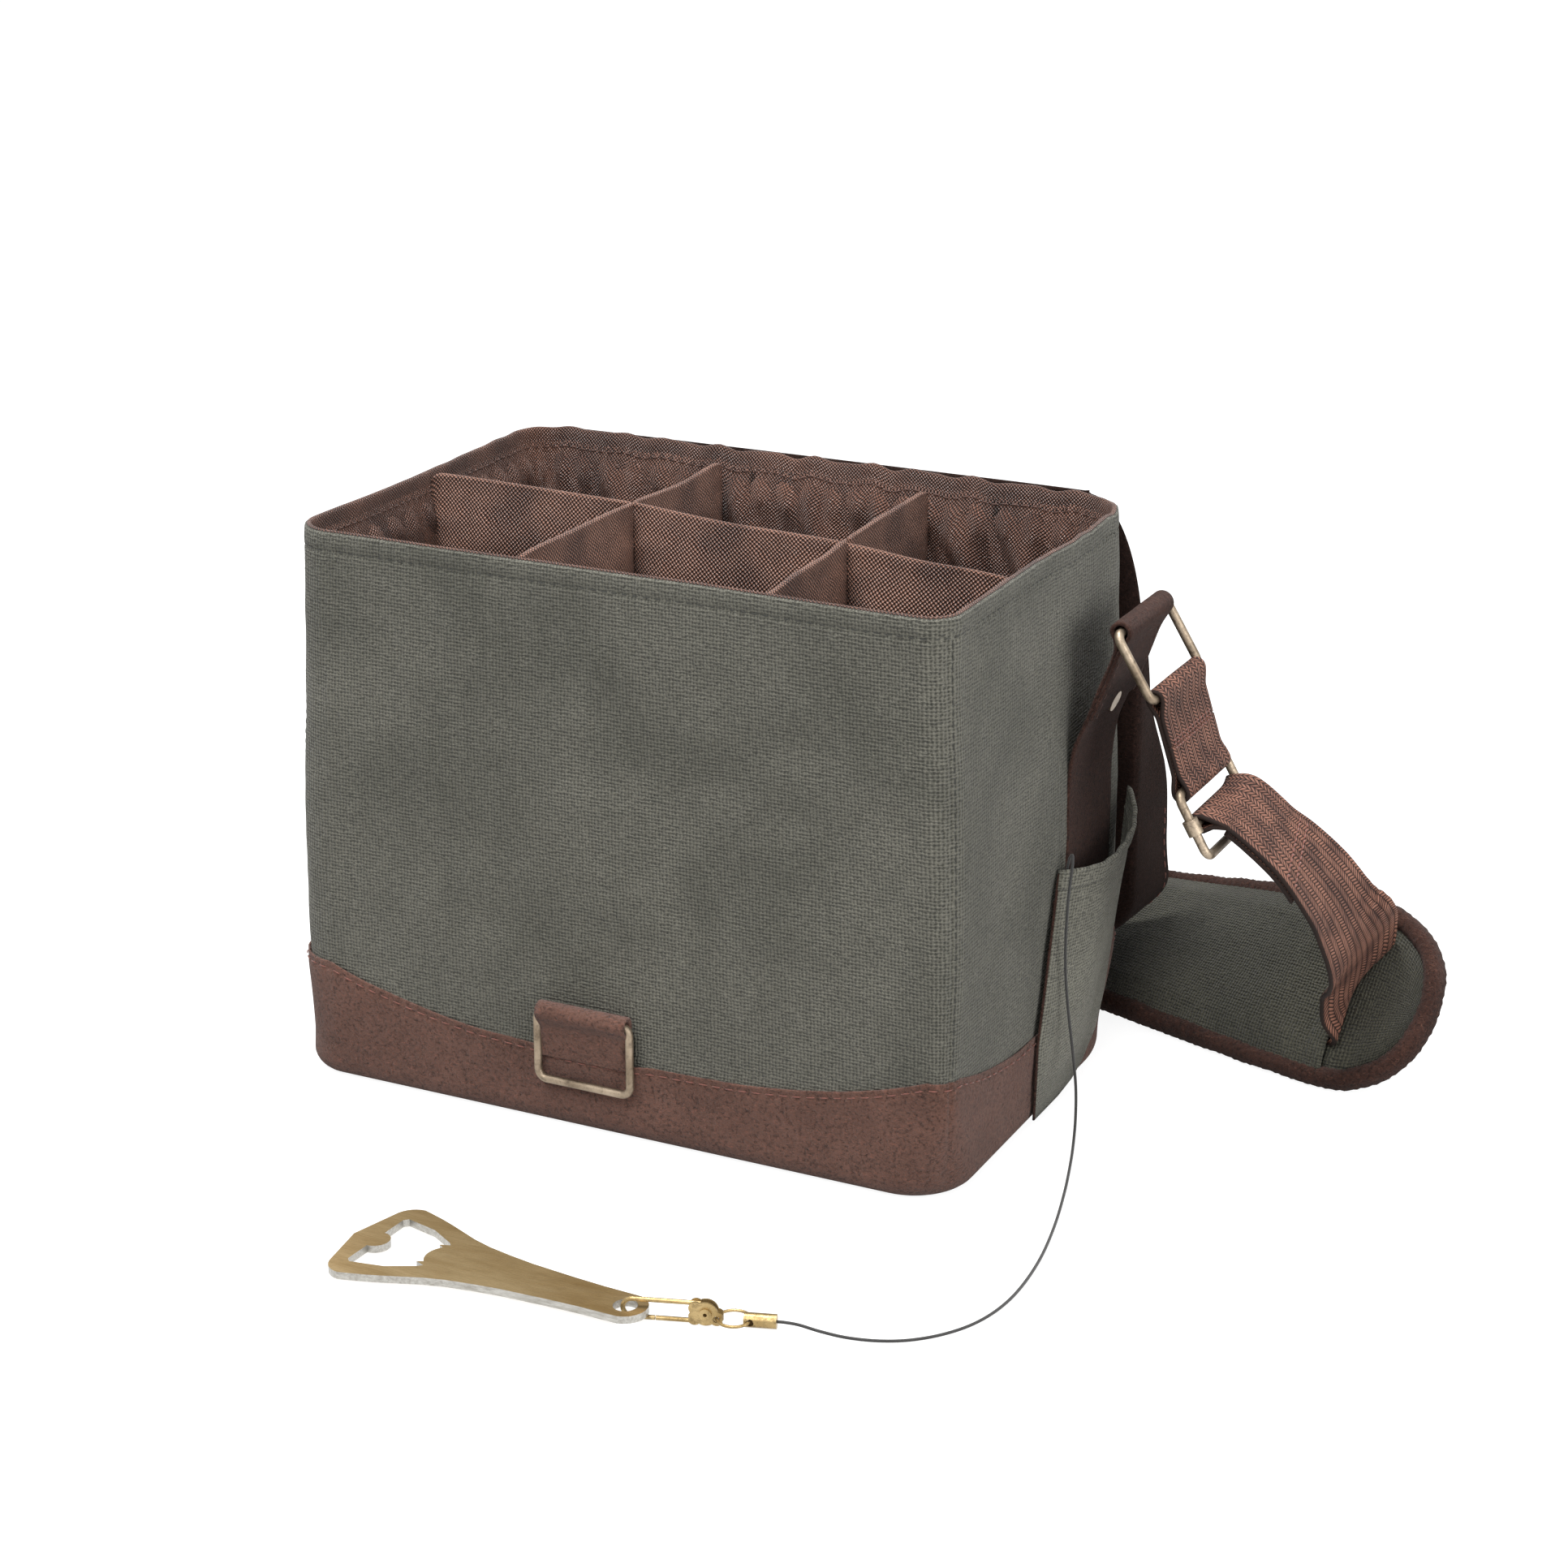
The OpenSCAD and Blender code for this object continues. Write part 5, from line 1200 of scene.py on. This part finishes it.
# Shoulder webbing: a loop on the slider's middle bar, an arch, the run under the cover and the tail
ARCH_SHARES = [(0.775, 0.227, 0.508), (0.812, 0.258, 0.451), (0.841, 0.299, 0.387), (0.863, 0.351, 0.306),
               (0.855, 0.433, 0.242), (0.847, 0.461, 0.192)]
ARCH_ACROSS = [(-0.185, 0.964, 0.186), (-0.094, 0.963, 0.252), (0.051, 0.979, 0.197), (0.171, 0.95, 0.263),
               (0.34, 0.87, 0.36), (0.34, 0.82, 0.46)]
DROP_SHARES = [(0.035, 0.855, 0.082), (-0.005, 0.865, 0.045), (-0.05, 0.874, 0.016)]
DROP_ACROSS = [(0, 0.99, 0.15), (0, 1, 0.08), (0, 1, 0.02)]
TAIL_SHARES = [(-0.1, 0.88), (-0.18, 0.884), (-0.30, 0.872), (-0.41, 0.83), (-0.51, 0.745)]
TAIL_ACROSS = [(0, 1, 0), (0, 1, 0), (-0.2, 0.98, 0), (-0.42, 0.91, 0), (-0.6, 0.8, 0)]
LEFT_SHARES = [(-0.637, 0.215, 0.66), (-0.655, 0.238, 0.52), (-0.673, 0.275, 0.36), (-0.676, 0.342, 0.21),
               (-0.663, 0.433, 0.10), (-0.630, 0.535, 0.034), (-0.588, 0.615, 0.007), (-0.555, 0.670, 0.006)]
LEFT_ACROSS = [(0, 1, 0), (-0.1, 0.98, 0.12), (-0.22, 0.93, 0.28), (-0.45, 0.78, 0.42), (-0.68, 0.6, 0.4),
               (-0.8, 0.55, 0.2), (-0.76, 0.65, 0.03), (-0.7, 0.71, 0)]
FLOOR_LEVEL = SOFT_GAP + WEB_T / 2


def web_centre_line():
    """The webbing's middle line and width directions, from the slider to the tail's end."""
    rise = 2.8 * math.sin(math.radians(45))
    x, z = MID_BAR
    start = [(x + rise, SIDE_Y, z + rise), (x + 9.88, SIDE_Y + WEB_T, z + rise)]
    i = np.arange(30, -1, -1)
    under = i * PAD_STEPS // 3
    over = (BINDING_T + SOFT_GAP - WEB_LEVEL) * np.clip((6 - i) / 3, 0, 1)
    run = PAD_C[under] + PAD_N[under] * (WEB_LEVEL + over + WEB_T / 2)[:, None]
    tail = np.column_stack([TAIL_SHARES * SHELL[:2], np.full(len(TAIL_SHARES), FLOOR_LEVEL)])
    line = np.vstack([start, ARCH_SHARES * SHELL, run, DROP_SHARES * SHELL, tail])
    across = np.vstack([(0, 1, 0), (-0.1, 0.99, 0.1), *ARCH_ACROSS, PAD_A[under], *DROP_ACROSS, *TAIL_ACROSS])
    return catmull(line, 4), unit(catmull(unit(across), 4))


def shoulder_web():
    line, across = web_centre_line()
    line, across = resample(line, 1.5, across)
    across, up = strap_frame(line, unit(across))
    up = up * (np.sign(up[5][0] + up[5][2]) or 1)
    # The webbing wraps the bar and doubles back under itself
    first, last = 3, 30
    turn = math.degrees(math.atan2(up[first][2], up[first][0]))
    loop = at_side(round_bar(MID_BAR, 3.25, turn + 200, turn + 10, 16))
    path = np.concatenate([(line - up * 2.25)[first:last][::-1], loop, line[first + 1:]])
    widths = np.concatenate([across[first:last][::-1], rows_of((0, 1, 0), len(loop)), across[first + 1:]])
    web = strip_object("shoulder_web", path, widths, WEB_HALF, WEB_DRAWN_T, WEBBING,
                       columns=27, wave=0.12, seed=141, step=1.5)[0]
    dress(web, "shoulder_strap", "webbing", "shoulder_webbing")
    # The doubled end is held by two rows of stitches
    for name, index in (("a", 24), ("b", 27)):
        p, w, n = line[index] + up[index], across[index] * 22, up[index]
        stitches("web_tack_" + name, [p - w, p + w], rows_of(n, 2))


def left_web():
    x, z = -RING_BAR[0], RING_BAR[1]
    points = catmull(np.vstack([(x - 0.4, SIDE_Y, z - 4.6), *(LEFT_SHARES * SHELL)]), 5)
    across = unit(catmull(unit(np.vstack([(0, 1, 0), *LEFT_ACROSS])), 5))
    loop = at_side(round_bar((x, z), 3.2, -235, 75, 18)[:0:-1])
    path = np.concatenate([loop, points[1:]])
    path[:, 2] = np.maximum(path[:, 2], FLOOR_LEVEL)
    widths = np.concatenate([rows_of((0, 1, 0), len(loop)), across[1:]])
    web = strip_object("left_web", path, widths, WEB_HALF, WEB_DRAWN_T, WEBBING,
                       columns=21, wave=0.12, seed=151, step=1.5)[0]
    dress(web, "left_strap", "webbing", "left_webbing")


shoulder_web()
left_web()


# Side pocket: a full sheet that gapes at its mouth, with a slanting front seam and back edge
POCKET_FACE, POCKET_W, POCKET_LOW = 151.7, 84.0, 5.0
POCKET_EDGE = ([5, 6.5, 10, 20, 34, 52, 64, 86, 95, 118], [12, 26, 37, 53, 61, 67, 70, 75, 78, 83])
POCKET_SEAM = ([5, 37, 60, 107], [-14.5, -12.5, -6.0, 6.0])
POCKET_FRONT_H, POCKET_BACK_H, POCKET_GAPE, MOUTH_SAG = 107.0, 118.0, 13.0, 6.0
# Share of the height at the hem's seam, and the cloth's thickness below it and more of it in the hem
POCKET_HEM, POCKET_T, HEM_EXTRA_T = 0.925, 1.1, 0.7


def pocket_grid(u, v, off):
    """Points of the pocket at shares u along its width and v up its height."""
    arch = np.sin(math.pi * u)
    top = POCKET_FRONT_H + (POCKET_BACK_H - POCKET_FRONT_H) * u - MOUTH_SAG * arch
    z = POCKET_LOW + (top - POCKET_LOW) * v
    full = 2.2 * arch ** 0.5 * np.sin(math.pi * np.clip(v * 1.15, 0, 1)) ** 0.7
    fold = 0.9 * ripple(u * POCKET_W + 0.35 * z, z * 0.35, 30, 161) * arch ** 0.6 * smooth(v, 0.05, 0.3)
    mouth = 0.35 * np.cos(2 * math.pi * u * 7.0) * smooth(v, 0.9, 1.0) * arch
    start = np.interp(z, *POCKET_SEAM)
    y = start + (np.interp(z, *POCKET_EDGE) - start) * u
    x = POCKET_FACE + POCKET_GAPE * v ** 1.6 * arch ** 0.75 + full + np.maximum(fold, -0.6) + mouth + off
    return np.stack([x, y, z], -1)


def side_pocket():
    v = np.concatenate([np.linspace(0, 0.9, 60)[:-1], np.linspace(0.9, 1, 16)])
    gu, gv = np.meshgrid(0.5 - 0.5 * np.cos(np.linspace(0, math.pi, 64)), v, indexing="ij")
    hem = smooth(gv, 0.915, 0.935)
    grid = pocket_grid(gu, gv, 0.75)
    grid[..., 0] += 0.4 * hem - 0.35 * near(gv, POCKET_HEM, 0.008)
    # The pocket's lighter canvas is painted light
    pocket = slab_object("pocket_canvas", grid, POCKET_T + HEM_EXTRA_T * hem, CANVAS_POCKET_LIT)
    dress(pocket, "tote", "canvas", "side_pocket")
    normals = surface_normals(grid)
    normals = normals * np.sign(normals[..., :1])
    column = (slice(3, -3), int(np.argmin(np.abs(v - POCKET_HEM))))
    stitches("pocket_stitches", grid[column] + normals[column] * 0.55, normals[column])
    # Its front seam is a narrow dark piping
    seam = pocket_grid(np.zeros(50), np.linspace(0, 0.99, 50), 0.9) - [0, 0.2, 0]
    a = np.radians(np.arange(0, 360, 45))
    tube = seam[:, None] + np.column_stack([np.sin(a) * 0.6, np.cos(a) * 0.7, 0 * a])
    dress(joined_lofts("pocket_piping", [tube], SUEDE_DARK), "tote", "suede")


side_pocket()
